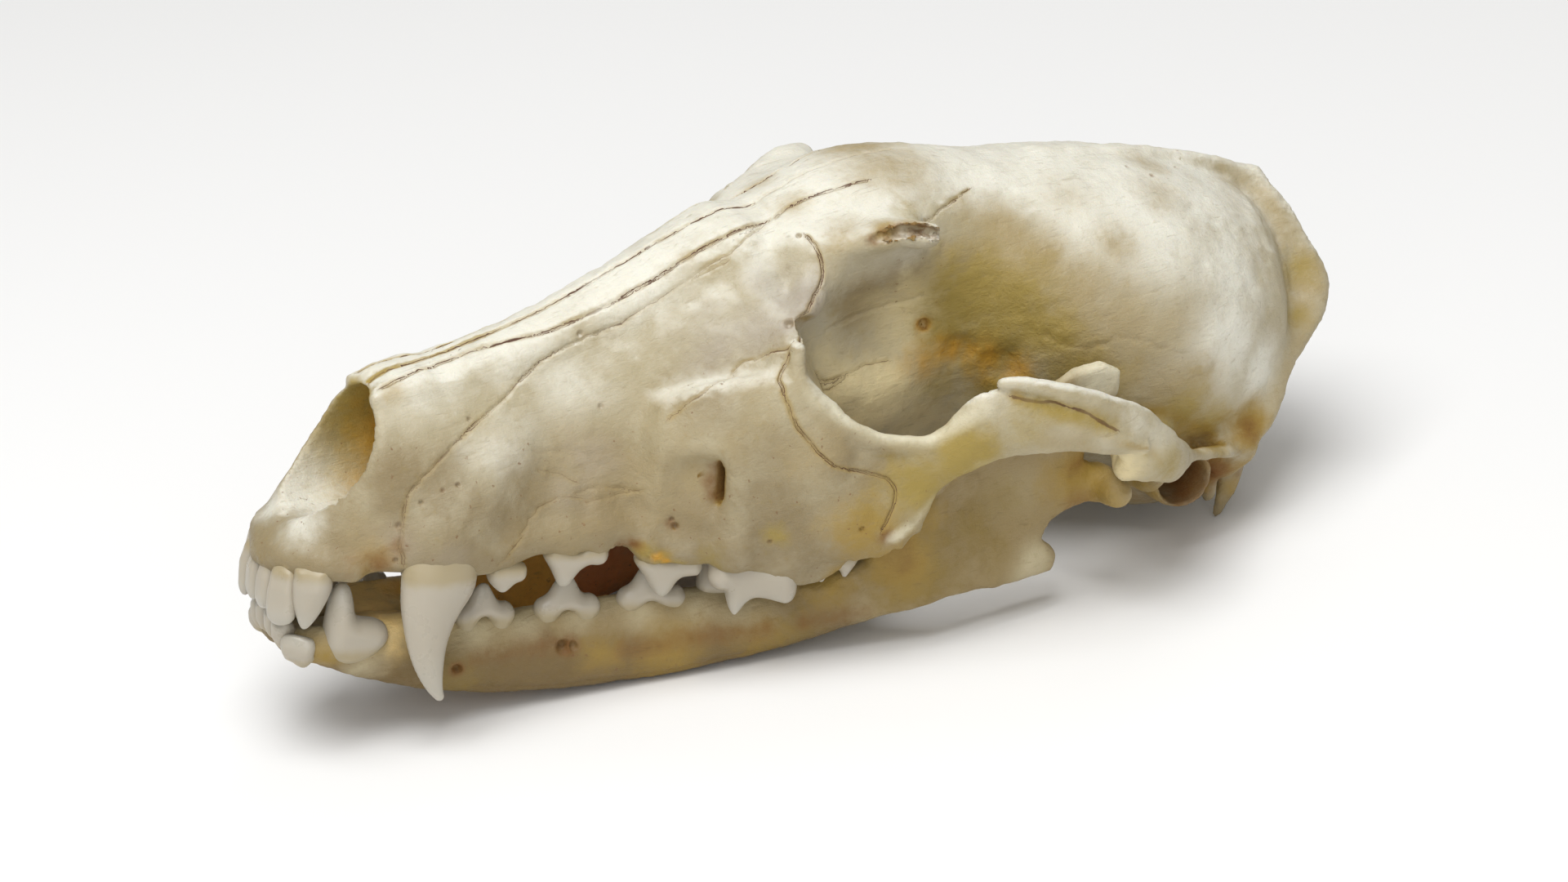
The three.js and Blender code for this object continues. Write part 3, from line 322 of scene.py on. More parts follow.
headHalf.strap([  # edge of the bone round the incisors
    [0, -0.6, 2.6, 2, 1.8], [5, 0.4, 2.8, 2, 1.8], [9.2, 3, 3, 2.2, 1.8], [12, 8.6, 2.6, 2, 1.6],
], soften=2)
headHalf.strap([  # hollow just inside the rim of the eye socket
    [21.6, 78.6, 37.6, 2, 2.4], [23.2, 79, 31.4, 2.2, 2.6], [25, 81.4, 27.4, 2.4, 2.6], [27.4, 85.6, 25.2, 2.4, 2.6],
    [30, 90.6, 24.6, 2.2, 2.2],
], soften=2, remove=True)
headHalf.strap([  # rim of the eye socket
    [25.6, 75, 35.6, 1.2, 1.2], [27, 74.6, 32.2, 1.4, 1.4], [28.5, 76.2, 28.8, 1.6, 1.6], [30, 79.2, 25.4, 1.7, 1.7],
    [31.8, 83.6, 23.2, 1.7, 1.7], [33.8, 88.8, 21.6, 1.6, 1.6], [36, 93.8, 22, 1.3, 1.3],
], soften=0.9)
headHalf.strap([  # swelling over the front root of the big premolar
    [24.8, 66.4, 18, 1.4, 1.4], [25.6, 66.8, 12, 1.7, 1.7], [25.4, 67.2, 4, 2, 2],
], up=(0, 1, 0), soften=2.5)
rootSwellings = [  # x, y of each upper root
    [15.6, 42.2, 1.4], [16.8, 47.4, 1.4], [18.6, 55.4, 1.5], [20.6, 61.8, 1.5], [24.2, 66.8, 1.9], [27, 76, 1.7],
]
for x, y, radius in rootSwellings:
    headHalf.strap([[x, y, 2, radius, radius], [x - 0.4, y, 7, radius, radius], [x - 1.6, y, 12, 0.8, 0.8]],
                  up=(0, 1, 0), soften=3)
headHalf.strap([  # nose cavity
    [0, 0.6, 12, 5.4, 4.4], [0, 4.6, 14, 6.6, 7.2], [0, 7, 15.2, 8.4, 8.3], [0, 9, 16, 9.4, 8.9],
    [0, 11, 16.5, 9.8, 9.1], [0, 13.8, 16.8, 10, 8.8], [0, 18, 17.4, 9.9, 7.9], [0, 26, 18.2, 9, 6.4],
    [0, 38, 20.6, 7.4, 5.2], [0, 52, 24, 5.5, 4],
], soften=1, remove=True)
headHalf.strap([  # hollow of the palate
    [0, 8, -3.5, 3.5, 4], [0, 22, -4, 5, 9], [0, 45, -4.5, 6, 11.5], [0, 68, -5, 6.5, 16], [0, 86, -5, 6.5, 16],
], soften=1.5, remove=True)
headHalf.strap([[0, 84, 4, 3, 5], [0, 94, 6, 5.5, 6.6], [0, 108, 6, 6, 6.4], [0, 124, 3, 6, 6]],
              soften=1.5, remove=True)  # throat opening
headHalf.strap([[0, 176, 14, 8, 7.6], [0, 168, 16, 7.4, 7], [0, 156, 19, 5, 5], [0, 147, 21, 2, 2]],
              soften=1.5, remove=True)  # opening for the spine
headHalf.strap([[19, 149.3, 6.8, 5.4, 6], [26, 149, 6.8, 5.1, 5.7]], soften=1.5)  # ring of the ear opening
headHalf.strap([[32, 149, 6.8, 4.4, 5], [26, 149, 6.8, 4.1, 4.7], [21, 149.3, 7, 3.2, 3.6], [17, 149.5, 7, 1.5, 1.5]],
              soften=1.2, remove=True)  # ear opening
headHalf.strap([  # shallow hollow in front of the nerve opening
    [22, 56.8, 15, 2.8, 0.9], [23.7, 60.2, 14.8, 4, 1.7], [25, 62.6, 14.6, 4.4, 1.6],
], soften=2, remove=True)
headHalf.strap([  # nerve opening below the eye, a slit that faces forwards
    [25, 61.8, 15, 4, 0.5], [24.2, 64, 15, 3.9, 0.9], [23, 67, 15, 3.2, 0.9], [21.6, 70, 15, 1.4, 0.7],
], soften=0.3, remove=True)
headHalf.strap([[4.2, 10.5, 0, 4, 1.2], [4.4, 16, 0.5, 4.6, 1.6], [4.2, 21.5, 0.5, 4, 1.2]],
              soften=0.6, remove=True)  # slots in the front of the palate

print("cranium blocked out")

# lower jaw, the left bone
jawLeft = Clay([-2, -4, -26], [43, 138, 38], boneStep)
jawLeft.strap([  # body: x, y, z, half height, half width
    [3.2, 3, -12, 1.9, 2.8], [4.4, 6, -12.2, 2.7, 4.1], [5.2, 10, -12.8, 4, 4.7], [6.6, 18, -13.9, 5.6, 4.7],
    [8, 27, -15, 6.5, 4.3], [9.4, 36, -15.6, 6.9, 4], [11.3, 47, -15.1, 7.3, 3.8], [13.6, 58, -14, 7.3, 3.9],
    [16.3, 68, -12.8, 6.6, 4], [19.5, 79, -10.4, 6.2, 3.8], [22.4, 88, -7.9, 5.2, 3.4], [26.4, 97, -5.8, 3.6, 2.6],
], soften=0)
jawLeft.strap([  # chin, where the two bones meet
    [1.6, 3.2, -11.9, 1.9, 2.2], [2, 9, -13, 3.7, 3], [2.2, 18, -14.4, 4.8, 3], [2.6, 28, -15.6, 4.6, 3],
    [3.4, 36, -15.8, 3, 2.6],
], soften=2)
ramusCorners = [  # ramus: y, z corners
    [84, -12.2], [93, -9.4], [103, -6.9], [112, -6.1], [118, -5.2], [122.4, -4.4], [123, -2], [120, 1.2], [121.5, 4],
    [126, 6], [130.5, 8], [130, 12], [126, 14.5], [127, 20], [131, 25.5], [130.6, 29.4], [127, 31], [122.4, 30.2],
    [117, 27], [108.5, 20.5], [100, 12.5], [94.5, 6], [90, -0.6], [82, -5.6],
]
jawLeft.plate(ramusCorners,
              lambda y, z: 20.6 + 8.4 * np.clip((y - 79) / 20, 0, 1) + 0.08 * (z + 5),
              lambda y, z: 1.5 + np.clip((6 - z) / 12, 0, 1), round=1.2, soften=3)
jawLeft.strap([  # jaw joint
    [24.5, 129.5, 8.6, 2.2, 2.2], [30, 130.4, 9.6, 2.8, 2.8], [36.5, 129.8, 10, 2.4, 2.4],
], soften=2.5)
jawLeft.strap([[29.4, 112, -3.4, 2.6, 1.6], [29.6, 121, -2.6, 1.8, 1.4]], soften=2)  # lower corner
jawLeft.strap([  # ridge along the front of the ramus
    [26.6, 91, 2, 1.6, 1.2], [28.8, 98, 8, 1.6, 1.2], [30, 107, 13.6, 1.4, 1.2],
], soften=2)
jawLeft.blob([37.2, 112, 10], [6, 11, 9], soften=3, remove=True)  # hollow for the chewing muscle
jawLeft.strap([  # edge of the bone round the lower incisors
    [1.5, 2.6, -11.8, 2.2, 1.6], [4.4, 3, -11.8, 2.4, 1.8], [7.2, 4.6, -11, 2.8, 1.8], [8.8, 7.4, -10.8, 2.6, 1.8],
], soften=1.5)
jawLeft.blend([((-9, -9, -40), (midGap, 150, 50), lambda x, y, z: x - midGap + 0 * y + 0 * z)],
              soften=0, remove=True)  # flat face towards the other bone
print("lower jaw blocked out")


# teeth: across, along the row and up the crown are x, y and z of a tooth's own frame
def toothClay(low=(-9, -11, -9), high=(8, 11, 12)):
    return Clay(low, high, toothStep)


def leaf(clay, corners, half, edge=2.4, soften=0.8):
    # a crown from its outline seen from the side; half is half its thickness at each height up the crown,
    # and edge is how far in from the outline the cheeks of the tooth are fully swollen
    line = smoothRows(np.vstack([corners[-1:], corners, corners[:2]]), 4)[4:-4]
    heights, widths = np.array(half, float).T

    def distance(x, y, z):
        depth = outlineDepth(y, z, line)
        width = np.interp(z, heights, widths)
        return (np.hypot(np.maximum(edge - depth, 0), x * edge / width) - edge) * np.minimum(width / edge, 1)

    low, high = line.min(0), line.max(0)
    thick = widths.max()
    return clay.blend([((-thick, low[0], low[1]), (thick, high[0], high[1]), distance)], soften=soften)


def roots(clay, rows, depth=4.6):
    for across, along, length, width in rows:
        clay.strap([[across, along, 0, length, width], [across, along, -0.5 * depth, 0.85 * length, 0.85 * width],
                    [across, along, -depth, 0.5 * length, 0.5 * width]], up=(0, 1, 0), soften=0.8)
    return clay


def crown(cusps, lobes, rootRows):
    clay = toothClay()
    for across, along, width, length, height in lobes:
        clay.blob([across, along, 0.1 * height], [width, length, height], soften=1)
    for across, along, height, length, width, *more in cusps:
        lean = more[0] if more else 0
        clay.strap([
            [across, along, -0.5, length, width],
            [across, along + 0.2 * lean, 0.35 * height, 0.66 * length, 0.86 * width],
            [across, along + 0.6 * lean, 0.72 * height, 0.3 * length, 0.56 * width],
            [across, along + lean, height - 0.45, 0.5, 0.45],
        ], up=(0, 1, 0), soften=1)
    return roots(clay, rootRows)


def incisor(length, height, depth=4.6):
    h = 0.5 * length
    clay = leaf(toothClay(), np.array([
        [-0.72 * h, -0.8], [-0.95 * h, 0.25 * height], [-1.0 * h, 0.55 * height], [-0.86 * h, 0.86 * height],
        [-0.35 * h, 0.99 * height], [0.3 * h, 0.97 * height], [0.86 * h, 0.84 * height], [1.0 * h, 0.55 * height],
        [0.92 * h, 0.25 * height], [0.7 * h, -0.8]]),
        [[-1, 1.5], [0.3 * height, 1.9], [0.75 * height, 1.3], [height, 0.7]], edge=1.3)
    return roots(clay, [[-0.2, 0, 0.36 * length, 1.5]], depth=depth)


def premolar(length, height, width):
    a, h = length, height
    clay = leaf(toothClay(), np.array([
        [-0.49 * a, 0.10 * h], [-0.44 * a, 0.30 * h], [-0.30 * a, 0.46 * h], [-0.19 * a, 0.80 * h],
        [-0.09 * a, 0.98 * h], [0.02 * a, 0.97 * h], [0.1 * a, 0.76 * h], [0.18 * a, 0.52 * h], [0.26 * a, 0.42 * h],
        [0.34 * a, 0.42 * h], [0.43 * a, 0.32 * h], [0.495 * a, 0.10 * h], [0.46 * a, -0.14 * h],
        [0.35 * a, -0.25 * h], [0.19 * a, -0.15 * h], [0.0, 0.03 * h], [-0.19 * a, -0.14 * h], [-0.34 * a, -0.25 * h],
        [-0.46 * a, -0.12 * h]]),
        [[-2, width], [0.2 * h, width], [0.6 * h, 0.75 * width], [h, 0.45 * width]], edge=min(2, 0.18 * a + 0.3))
    if length < 7:
        return roots(clay, [[0, 0, 0.3 * a, 0.8 * width]])
    return roots(clay, [[0, -0.27 * a, 0.17 * a, 0.78 * width], [0, 0.27 * a, 0.17 * a, 0.78 * width]])


upperPremolar1 = roots(leaf(toothClay(), np.array([
    [-3.2, 0.2], [-2.8, 1.6], [-1.7, 2.9], [-0.6, 3.6], [0.3, 3.2], [1.3, 2.3], [2.6, 1.8], [3.2, 0.7], [3, -0.8],
    [1.6, -1.4],
    [-1.6, -1.4], [-2.9, -0.8]]), [[-1.5, 1.9], [1, 1.9], [3.6, 1]], edge=1.3), [[0, 0, 2, 1.5]])
upperPremolar2 = roots(leaf(toothClay(), np.array([
    [-5.2, 0], [-4.6, 1.4], [-3.9, 2.6], [-3.2, 4], [-2.6, 5.2], [-1.7, 5.6], [-0.8, 5.2], [-0.1, 4.2], [0.8, 3],
    [2.2, 2.2], [3.5, 2.3], [4.6, 2], [5.3, 0.8], [5.1, -0.8], [4, -1.5], [2, -1.1], [0, -0.5], [-2, -1.1],
    [-4.2, -1.4]]),
    [[-1.5, 2], [1.5, 2], [4, 1.6], [5.6, 1]], edge=1.7), [[0, -2.8, 1.8, 1.5], [0, 2.8, 1.8, 1.5]])
upperPremolar3 = roots(leaf(toothClay(), np.array([
    [-5.4, 0], [-5, 1], [-3.9, 2.6], [-2.6, 4.6], [-1.4, 6.1], [-0.3, 6.4], [0.7, 5.4], [1.5, 4], [2.4, 3.2],
    [3.8, 3], [5, 2.7], [5.6, 1.2], [5.2, -0.8], [4, -1.6], [2, -1.1], [0, -0.5], [-2, -1.1], [-4.4, -1.5]]),
    [[-1.5, 2.2], [1.5, 2.2], [4.5, 1.7], [6.4, 1]], edge=1.8), [[0, -3, 1.9, 1.6], [0, 3, 1.9, 1.6]])


def upperMolar(scale):
    k = scale
    return crown(
        [[4.4 * k, -2.5 * k, 4.6 * k, 2.6 * k, 1.9 * k], [4.2 * k, 2.5 * k, 4.2 * k, 2.4 * k, 1.9 * k],
         [-3.6 * k, -0.8 * k, 2.6 * k, 2.2 * k, 2 * k]],
        [[3.4 * k, 0, 3 * k, 5.4 * k, 2 * k], [-2.6 * k, 0, 4.6 * k, 4 * k, 1.8 * k]],
        [[3.4 * k, 0, 3.4 * k, 1.9 * k], [-3 * k, 0, 2.6 * k, 2.4 * k]])


upperIncisor3 = roots(leaf(toothClay(), np.array([
    [-2.4, -1.5], [-2.9, 0.5], [-3.0, 2.6], [-2.8, 4.6], [-2.2, 6.6], [-1.5, 8.2], [-0.9, 8.7], [-0.1, 8.3],
    [1.0, 6.7], [1.9, 4.9], [2.7, 3], [3.1, 1.2], [2.9, -0.4], [2.4, -1.5]]),
    [[-1, 2], [2, 2.3], [5.5, 1.7], [8.8, 0.8]], edge=2.2), [[-0.2, 0, 2, 1.6]], depth=3)
upperCanine = toothClay((-6, -9, -12), (7, 12, 21)).strap([  # across, along, up, half length, half width
    [-1.8, 3, -10, 3.6, 2.6], [-0.9, 1.8, -4.5, 5, 3.2], [0, 0.4, 0, 6, 3.5], [0.3, -0.7, 3.4, 5.2, 3.3],
    [0.55, -1.3, 6.6, 4.2, 2.9], [0.8, -1.5, 10.4, 3.2, 2.4], [1, -1.1, 14, 2.35, 1.9], [1.1, -0.2, 17.4, 1.4, 1.25],
    [1.05, 0.8, 19.4, 0.75, 0.7],
], up=(0, 1, 0), soften=0)
lowerCanine = roots(leaf(toothClay((-6, -10, -8), (7, 10, 13)), np.array([
    [-4.7, 10.7], [-5.6, 9.6], [-6.2, 7.2], [-6.5, 4.2], [-6.5, 1.4], [-5.8, -0.6], [-4.4, -2.1], [-2.3, -2.8],
    [0.6, -2.1], [2.8, -0.5], [3.8, 1.2], [3.5, 2.8], [2.2, 3.8], [0.4, 4.3], [-1.2, 4.8], [-1.9, 6], [-2.2, 7.8],
    [-2.7, 9.6], [-3.6, 10.7]]),
    [[-3, 3], [3, 3.1], [7, 2.3], [11, 1.4]], edge=2.6), [[-0.8, 1.4, 3.6, 2.2]], depth=5)
upperPremolar4 = toothClay()
leaf(upperPremolar4, np.array([
    [-7.2, 0.4], [-7, 2.2], [-6.5, 3.8], [-5.6, 4.6], [-4.7, 4.8], [-4.3, 6.2], [-3.7, 8], [-2.8, 9.2], [-1.9, 8.4],
    [-1.1, 7.2], [0.1, 6.3], [1.8, 6.3], [3.8, 6.8], [5.3, 7.1], [6.4, 6.4], [6.9, 4.6], [6.6, 1.6], [5.6, -1.1],
    [3, -1.2],
    [0, -0.8], [-3, -1.2], [-5.6, -1.4], [-7, -1]]), [[-1.5, 2.8], [2.5, 2.8], [5.5, 2], [9.4, 1]], edge=2.2)
upperPremolar4.blob([0.9, -5.2, 2.4], [2.4, 2.2, 2], soften=1.2)
upperPremolar4.blob([-3.2, -5.4, 0.6], [2, 2, 2.2], soften=1.2)
roots(upperPremolar4, [[0, -4.8, 2.5, 2], [0, 4.6, 2.6, 1.9], [-3.2, -5.4, 1.4, 1.3]])
lowerMolar1 = toothClay()
leaf(lowerMolar1, np.array([
    [-9.2, 0.6], [-9, 3], [-8, 5.6], [-6.9, 6.9], [-5.6, 6.2], [-3.8, 5.1], [-2.6, 5.3], [-1.4, 7], [-0.1, 8],
    [0.9, 7.2], [2, 4.6], [3.2, 3.2], [5, 3.4], [7, 3.1], [8.5, 1.4], [8.2, -0.6], [5.4, -1.2], [2.4, -0.5],
    [0.2, 0.1], [-2.6, -0.6],
    [-6, -1.2], [-8.6, -0.6]]), [[-1.5, 2.3], [1.5, 2.5], [4.5, 1.9], [8, 0.9]], edge=2.3)
lowerMolar1.blob([-1.4, 5.2, 1.2], [1.6, 2.6, 1.8], soften=1)
roots(lowerMolar1, [[0, -5, 3, 2], [0, 5, 2.8, 2]])
lowerMolar2 = crown(
    [[0.4, -1.4, 3, 2.2, 1.9], [0.2, 2, 2.4, 1.5, 1.6]], [[0, 0, 2.4, 3.5, 1.4]], [[0, 0, 2.6, 1.9]])
lowerMolar3 = crown([[0.2, 0, 1.9, 1.6, 1.5]], [[0, 0, 1.6, 1.9, 1]], [[0, 0, 1.3, 1.2]])

# name, shape, x, y, z of the neck, turn of the row in degrees, lean outwards in degrees
upperTeeth = [
    ["incisor_1", incisor(4, 7.2, 3), 2, -0.5, 0.6, 84, 12],
    ["incisor_2", incisor(5.2, 8.4, 3), 6, 0.1, 0.7, 56, 10],
    ["incisor_3", upperIncisor3, 9.6, 2.9, 1.3, 40, 6],
    ["canine", upperCanine, 14.6, 21.2, 0.8, 4, 2],
    ["premolar_1", upperPremolar1, 14.6, 32.9, 0.4, 4, 4],
    ["premolar_2", upperPremolar2, 16, 43.9, 2.6, 8, 2],
    ["premolar_3", upperPremolar3, 19, 58.6, 1, 16, 2],
    ["premolar_4", upperPremolar4, 23.8, 71.5, 0.9, 20, 3],
    ["molar_1", upperMolar(0.84), 23.2, 84.2, 0.8, 2, 0],
    ["molar_2", upperMolar(0.5), 21, 91.8, 2.4, -12, 0],
]
lowerTeeth = [
    ["incisor_1", incisor(2.9, 4.6, 2.2), 1.6, 1, -10.6, 86, 20],
    ["incisor_2", incisor(3.6, 4.4, 2.2), 4.1, 1.3, -11.2, 70, 22],
    ["incisor_3", incisor(5.6, 4, 2.2), 6.7, 2.6, -12.8, 46, 26],
    ["canine", lowerCanine, 8.8, 12, -11.4, 2, 4],
    ["premolar_1", premolar(4.2, 3.2, 1.5), 8.6, 21.4, -9, 4, 2],
    ["premolar_2", premolar(10, 5.8, 1.8), 10.4, 31.6, -8.9, 8, 2],
    ["premolar_3", premolar(11, 6.4, 1.9), 12.2, 45, -8.8, 10, 2],
    ["premolar_4", premolar(11.4, 6.8, 2), 14.7, 58.4, -8, 14, 2],
    ["molar_1", lowerMolar1, 17.8, 74.9, -6.8, 17, 0],
    ["molar_2", lowerMolar2, 21, 88.2, -4.8, 18, 0],
    ["molar_3", lowerMolar3, 22.6, 93.6, -3.8, 18, 0],
]
print("teeth shaped")


def seat(points, row, upper):
    # from a tooth's own frame to its place in the jaw
    name, clay, x, y, z, turn, lean = row
    side = -1 if upper else 1
    spin = Matrix.Rotation(-math.radians(turn), 3, "Z") @ Matrix.Rotation(side * math.radians(lean), 3, "Y")
    spin = np.array(spin @ Matrix.Diagonal((1, 1, side)))
    return points @ spin.T + (x, y, z)


# objects
def makeObject(name, points, triangles, quads, flip=False):
    triangles, quads = np.asarray(triangles, int).reshape(-1, 3), np.asarray(quads, int).reshape(-1, 4)
    if flip:
        triangles, quads = triangles[:, ::-1], quads[:, ::-1]
    mesh = bpy.data.meshes.new(name)
    mesh.vertices.add(len(points))
    mesh.vertices.foreach_set("co", onTable(points).ravel())
    sizes = np.concatenate([np.full(len(triangles), 3), np.full(len(quads), 4)])
    mesh.loops.add(int(sizes.sum()))
    mesh.loops.foreach_set("vertex_index", np.concatenate([triangles.ravel(), quads.ravel()]))
    mesh.polygons.add(len(sizes))
    mesh.polygons.foreach_set("loop_start", np.concatenate([[0], np.cumsum(sizes)[:-1]]))
    mesh.polygons.foreach_set("use_smooth", np.ones(len(sizes), bool))
    mesh.update(calc_edges=True)
    mesh.validate()
    piece = bpy.data.objects.new(name, mesh)
    bpy.context.collection.objects.link(piece)
    return piece


def fromTable(vectors):
    # back to the skull's own frame
    x, y, z = vectors.T
    return np.stack([x, y * tipCos - z * tipSin, y * tipSin + z * tipCos], 1)


def placesOf(piece):
    out = np.empty(len(piece.data.vertices) * 3)
    piece.data.vertices.foreach_get("co", out)
    return fromTable(out.reshape(-1, 3) * 1000 - stance["move"])


def normalsOf(piece):
    out = np.empty(len(piece.data.vertices) * 3)
    piece.data.vertices.foreach_get("normal", out)
    return fromTable(out.reshape(-1, 3))


def setAttribute(piece, name, values):
    layer = piece.data.attributes.new(name, "FLOAT", "POINT")
    layer.data.foreach_set("value", np.asarray(values, np.float32))


def takeUp(piece):
    bpy.ops.object.select_all(action="DESELECT")
    piece.select_set(True)
    bpy.context.view_layer.objects.active = piece


def subdivideNear(piece, chosen):
    # halves the faces that touch the chosen points
    sides = len(piece.data.polygons[0].vertices)
    corners = np.empty(len(piece.data.polygons) * sides, np.int32)
    piece.data.polygons.foreach_get("vertices", corners)
    faces = chosen[corners.reshape(-1, sides)].any(1)
    takeUp(piece)
    bpy.context.tool_settings.mesh_select_mode = (False, False, True)
    bpy.ops.object.mode_set(mode="EDIT")
    bpy.ops.mesh.select_all(action="DESELECT")
    bpy.ops.object.mode_set(mode="OBJECT")
    piece.data.polygons.foreach_set("select", faces)
    bpy.ops.object.mode_set(mode="EDIT")
    bpy.ops.mesh.subdivide(number_cuts=1, ngon=False)
    bpy.ops.mesh.select_all(action="SELECT")
    bpy.ops.mesh.quads_convert_to_tris()
    bpy.ops.object.mode_set(mode="OBJECT")


def modify(piece, kind, **settings):
    takeUp(piece)
    bpy.ops.object.modifier_add(type=kind)
    modifier = piece.modifiers[-1]
    for key, value in settings.items():
        setattr(modifier, key, value)
    bpy.ops.object.modifier_apply(modifier=modifier.name)


def cloudTexture(name, size, depth):
    texture = bpy.data.textures.new(name, "CLOUDS")
    texture.noise_scale = size
    texture.noise_depth = depth
    return texture


def finished(piece, node, material):
    piece.data.materials.append(material)
    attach(piece, "root")
    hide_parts(node)
    return piece


# materials
class Surface:
    # a material with its shader and the nodes that feed it
    def __init__(self, name):
        self.material = bpy.data.materials.new(name)
        self.material.use_nodes = True
        self.tree = self.material.node_tree
        self.tree.nodes.clear()
        self.shader = self.node("BsdfPrincipled")
        self.node("OutputMaterial", {"Surface": self.shader.outputs[0]})

    def feed(self, node, inputs):
        # each input gets a number, a colour or another node's output
        for key, value in inputs.items():
            socket = node.inputs[key]
            if isinstance(value, (int, float)):
                socket.default_value = value
            elif isinstance(value, tuple):
                socket.default_value = (*value, 1)[:len(socket.default_value)]
            else:
                self.tree.links.new(value, socket)

    def node(self, kind, inputs=None, **settings):
        node = self.tree.nodes.new("ShaderNode" + kind)
        for name, value in settings.items():
            setattr(node, name, value)
        self.feed(node, inputs or {})
        return node

    def noise(self, coords, scale, detail=4, roughness=0.55, distortion=0.0):
        return self.node("TexNoise", {"Vector": coords, "Scale": scale, "Detail": detail, "Roughness": roughness,
                                      "Distortion": distortion}).outputs["Fac"]

    def span(self, value, low, high, to=(0, 1)):
        return self.node("MapRange", {"Value": value, "From Min": low, "From Max": high, "To Min": to[0],
                                      "To Max": to[1]}, interpolation_type="SMOOTHSTEP").outputs["Result"]

    def maths(self, kind, a, b=0.5):
        return self.node("Math", {0: a, 1: b}, operation=kind).outputs[0]

    def plus(self, a, b):
        return self.maths("ADD", a, b)

    def minus(self, a, b):
        return self.maths("SUBTRACT", a, b)

    def times(self, a, b):
        return self.maths("MULTIPLY", a, b)

    def tint(self, factor, under, over):
        return self.node("Mix", {0: factor, 6: under, 7: over}, data_type="RGBA").outputs[2]

    def mark(self, name):
        return self.node("Attribute", attribute_name=name).outputs["Fac"]

    def bump(self, height, strength, distance):
        node = self.node("Bump", {"Height": height, "Strength": strength, "Distance": distance})
        self.feed(self.shader, {"Normal": node.outputs[0]})

    def translucent(self, weight, radius, scale):
        self.feed(self.shader, {"Subsurface Weight": weight, "Subsurface Radius": radius, "Subsurface Scale": scale})


# of these tones dun also paints shade, and straw and ivory paint light, where their spots are set below
boneLook = {
    "cream": (0.40, 0.34, 0.21), "pale": (0.75, 0.73, 0.63), "straw": (0.78, 0.66, 0.38), "dun": (0.25, 0.19, 0.095),
    "tan": (0.37, 0.29, 0.15), "grey": (0.36, 0.31, 0.24), "olive": (0.33, 0.24, 0.055), "ochre": (0.33, 0.215, 0.04),
    "gold": (0.58, 0.29, 0.02), "brown": (0.18, 0.08, 0.025), "rust": (0.62, 0.20, 0.07),
    "ivory": (0.70, 0.65, 0.48), "dark": (0.09, 0.035, 0.014), "roughness": 0.5,
}
# the jaw's tones: cream, pale, tan, dun and olive darker than the cranium's, partly its own stain and partly painted
# shade on the low-lying jaw; straw, gold and rust brighter, painted light for its shaded inner side
jawLookPaintedShadeAndLight = {
    **boneLook, "cream": (0.29, 0.215, 0.095), "pale": (0.50, 0.43, 0.27), "tan": (0.18, 0.12, 0.042),
    "straw": (0.95, 0.68, 0.28), "dun": (0.15, 0.095, 0.026), "olive": (0.24, 0.165, 0.04),
    "gold": (0.9, 0.5, 0.1), "rust": (0.66, 0.24, 0.08),
}
# laid over each other in this order
tones = ("dun", "pale", "straw", "tan", "grey", "olive", "ochre", "gold", "brown", "rust", "ivory")


def boneMaterial(name, look):
    s = Surface(name)
    coords = s.node("TexCoord").outputs["Object"]
    broad = s.noise(coords, 45, 3)
    patch = s.noise(coords, 160, 5, 0.6, 0.4)
    fine = s.noise(coords, 700, 5, 0.65)
    grain = s.noise(coords, 2600, 3, 0.7)
    stretched = s.node("Mapping", {"Vector": coords, "Scale": (1, 0.16, 0.8)})  # fibres run along the bone
    fibre = s.noise(stretched.outputs[0], 1500, 4, 0.6, 0.6)
    colour = s.tint(s.span(broad, 0.4, 0.7, (0, 0.25)), look["cream"], look["pale"])
    colour = s.tint(s.span(patch, 0.5, 0.75, (0, 0.3)), colour, look["tan"])
    uneven = s.plus(s.times(s.minus(patch, 0.5), 0.9), s.times(s.minus(fine, 0.5), 0.3))
    for tone in tones:
        mark = s.mark(tone)
        strength = s.times(s.span(s.plus(mark, uneven), 0.0, 1.0), s.span(mark, 0.0, 0.25))
        colour = s.tint(strength, colour, look[tone])
    colour = s.tint(s.span(fine, 0.56, 0.8, (0, 0.22)), colour, look["olive"])
    colour = s.tint(s.span(fibre, 0.56, 0.74, (0, 0.3)), colour, look["dun"])
    specks = s.span(s.noise(coords, 1100, 2, 0.5), 0.69, 0.74, (0, 0.6))
    colour = s.tint(s.times(specks, s.span(s.mark("dun"), 0.2, 0.6)), colour, look["brown"])
    # seams: a dark line inside a soft ochre halo
    far, dark = s.mark("seamFar"), s.mark("seamDark")
    halo = s.times(s.span(s.plus(far, uneven), 0.9, 0.0), s.times(dark, 0.55))
    colour = s.tint(halo, colour, look["ochre"])
    width = s.times(s.mark("seamWide"), s.plus(patch, 0.5))
    ratio = s.maths("DIVIDE", s.maths("ABSOLUTE", s.mark("seam")), width)
    line = s.times(s.span(ratio, 1.3, 0.6), s.span(far, 1.1, 0.8))
    colour = s.tint(s.times(line, dark), colour, look["dark"])
    # painted shade: small holes darkened brown
    colour = s.tint(s.mark("pitShade"), colour, look["brown"])
    s.feed(s.shader, {
        "Base Color": colour,
        "Roughness": s.span(s.plus(patch, fine), 0.7, 1.3, (look["roughness"] - 0.1, look["roughness"] + 0.14)),
        "Specular IOR Level": s.span(s.mark("brown"), 0.2, 0.8, (0.42, 0.12)),  # brown places, stains and painted shade in hollows alike, are dull
    })
    s.bump(s.minus(s.plus(s.times(fine, 0.6), s.times(grain, 0.2)), s.times(fibre, 0.5)), 0.6, 0.0005)
    s.translucent(0.08, (1.0, 0.55, 0.25), 0.0015)
    return s.material


enamelLook = {"crown": (0.43, 0.385, 0.305), "neck": (0.36, 0.29, 0.16), "tip": (0.46, 0.43, 0.36), "roughness": 0.26}


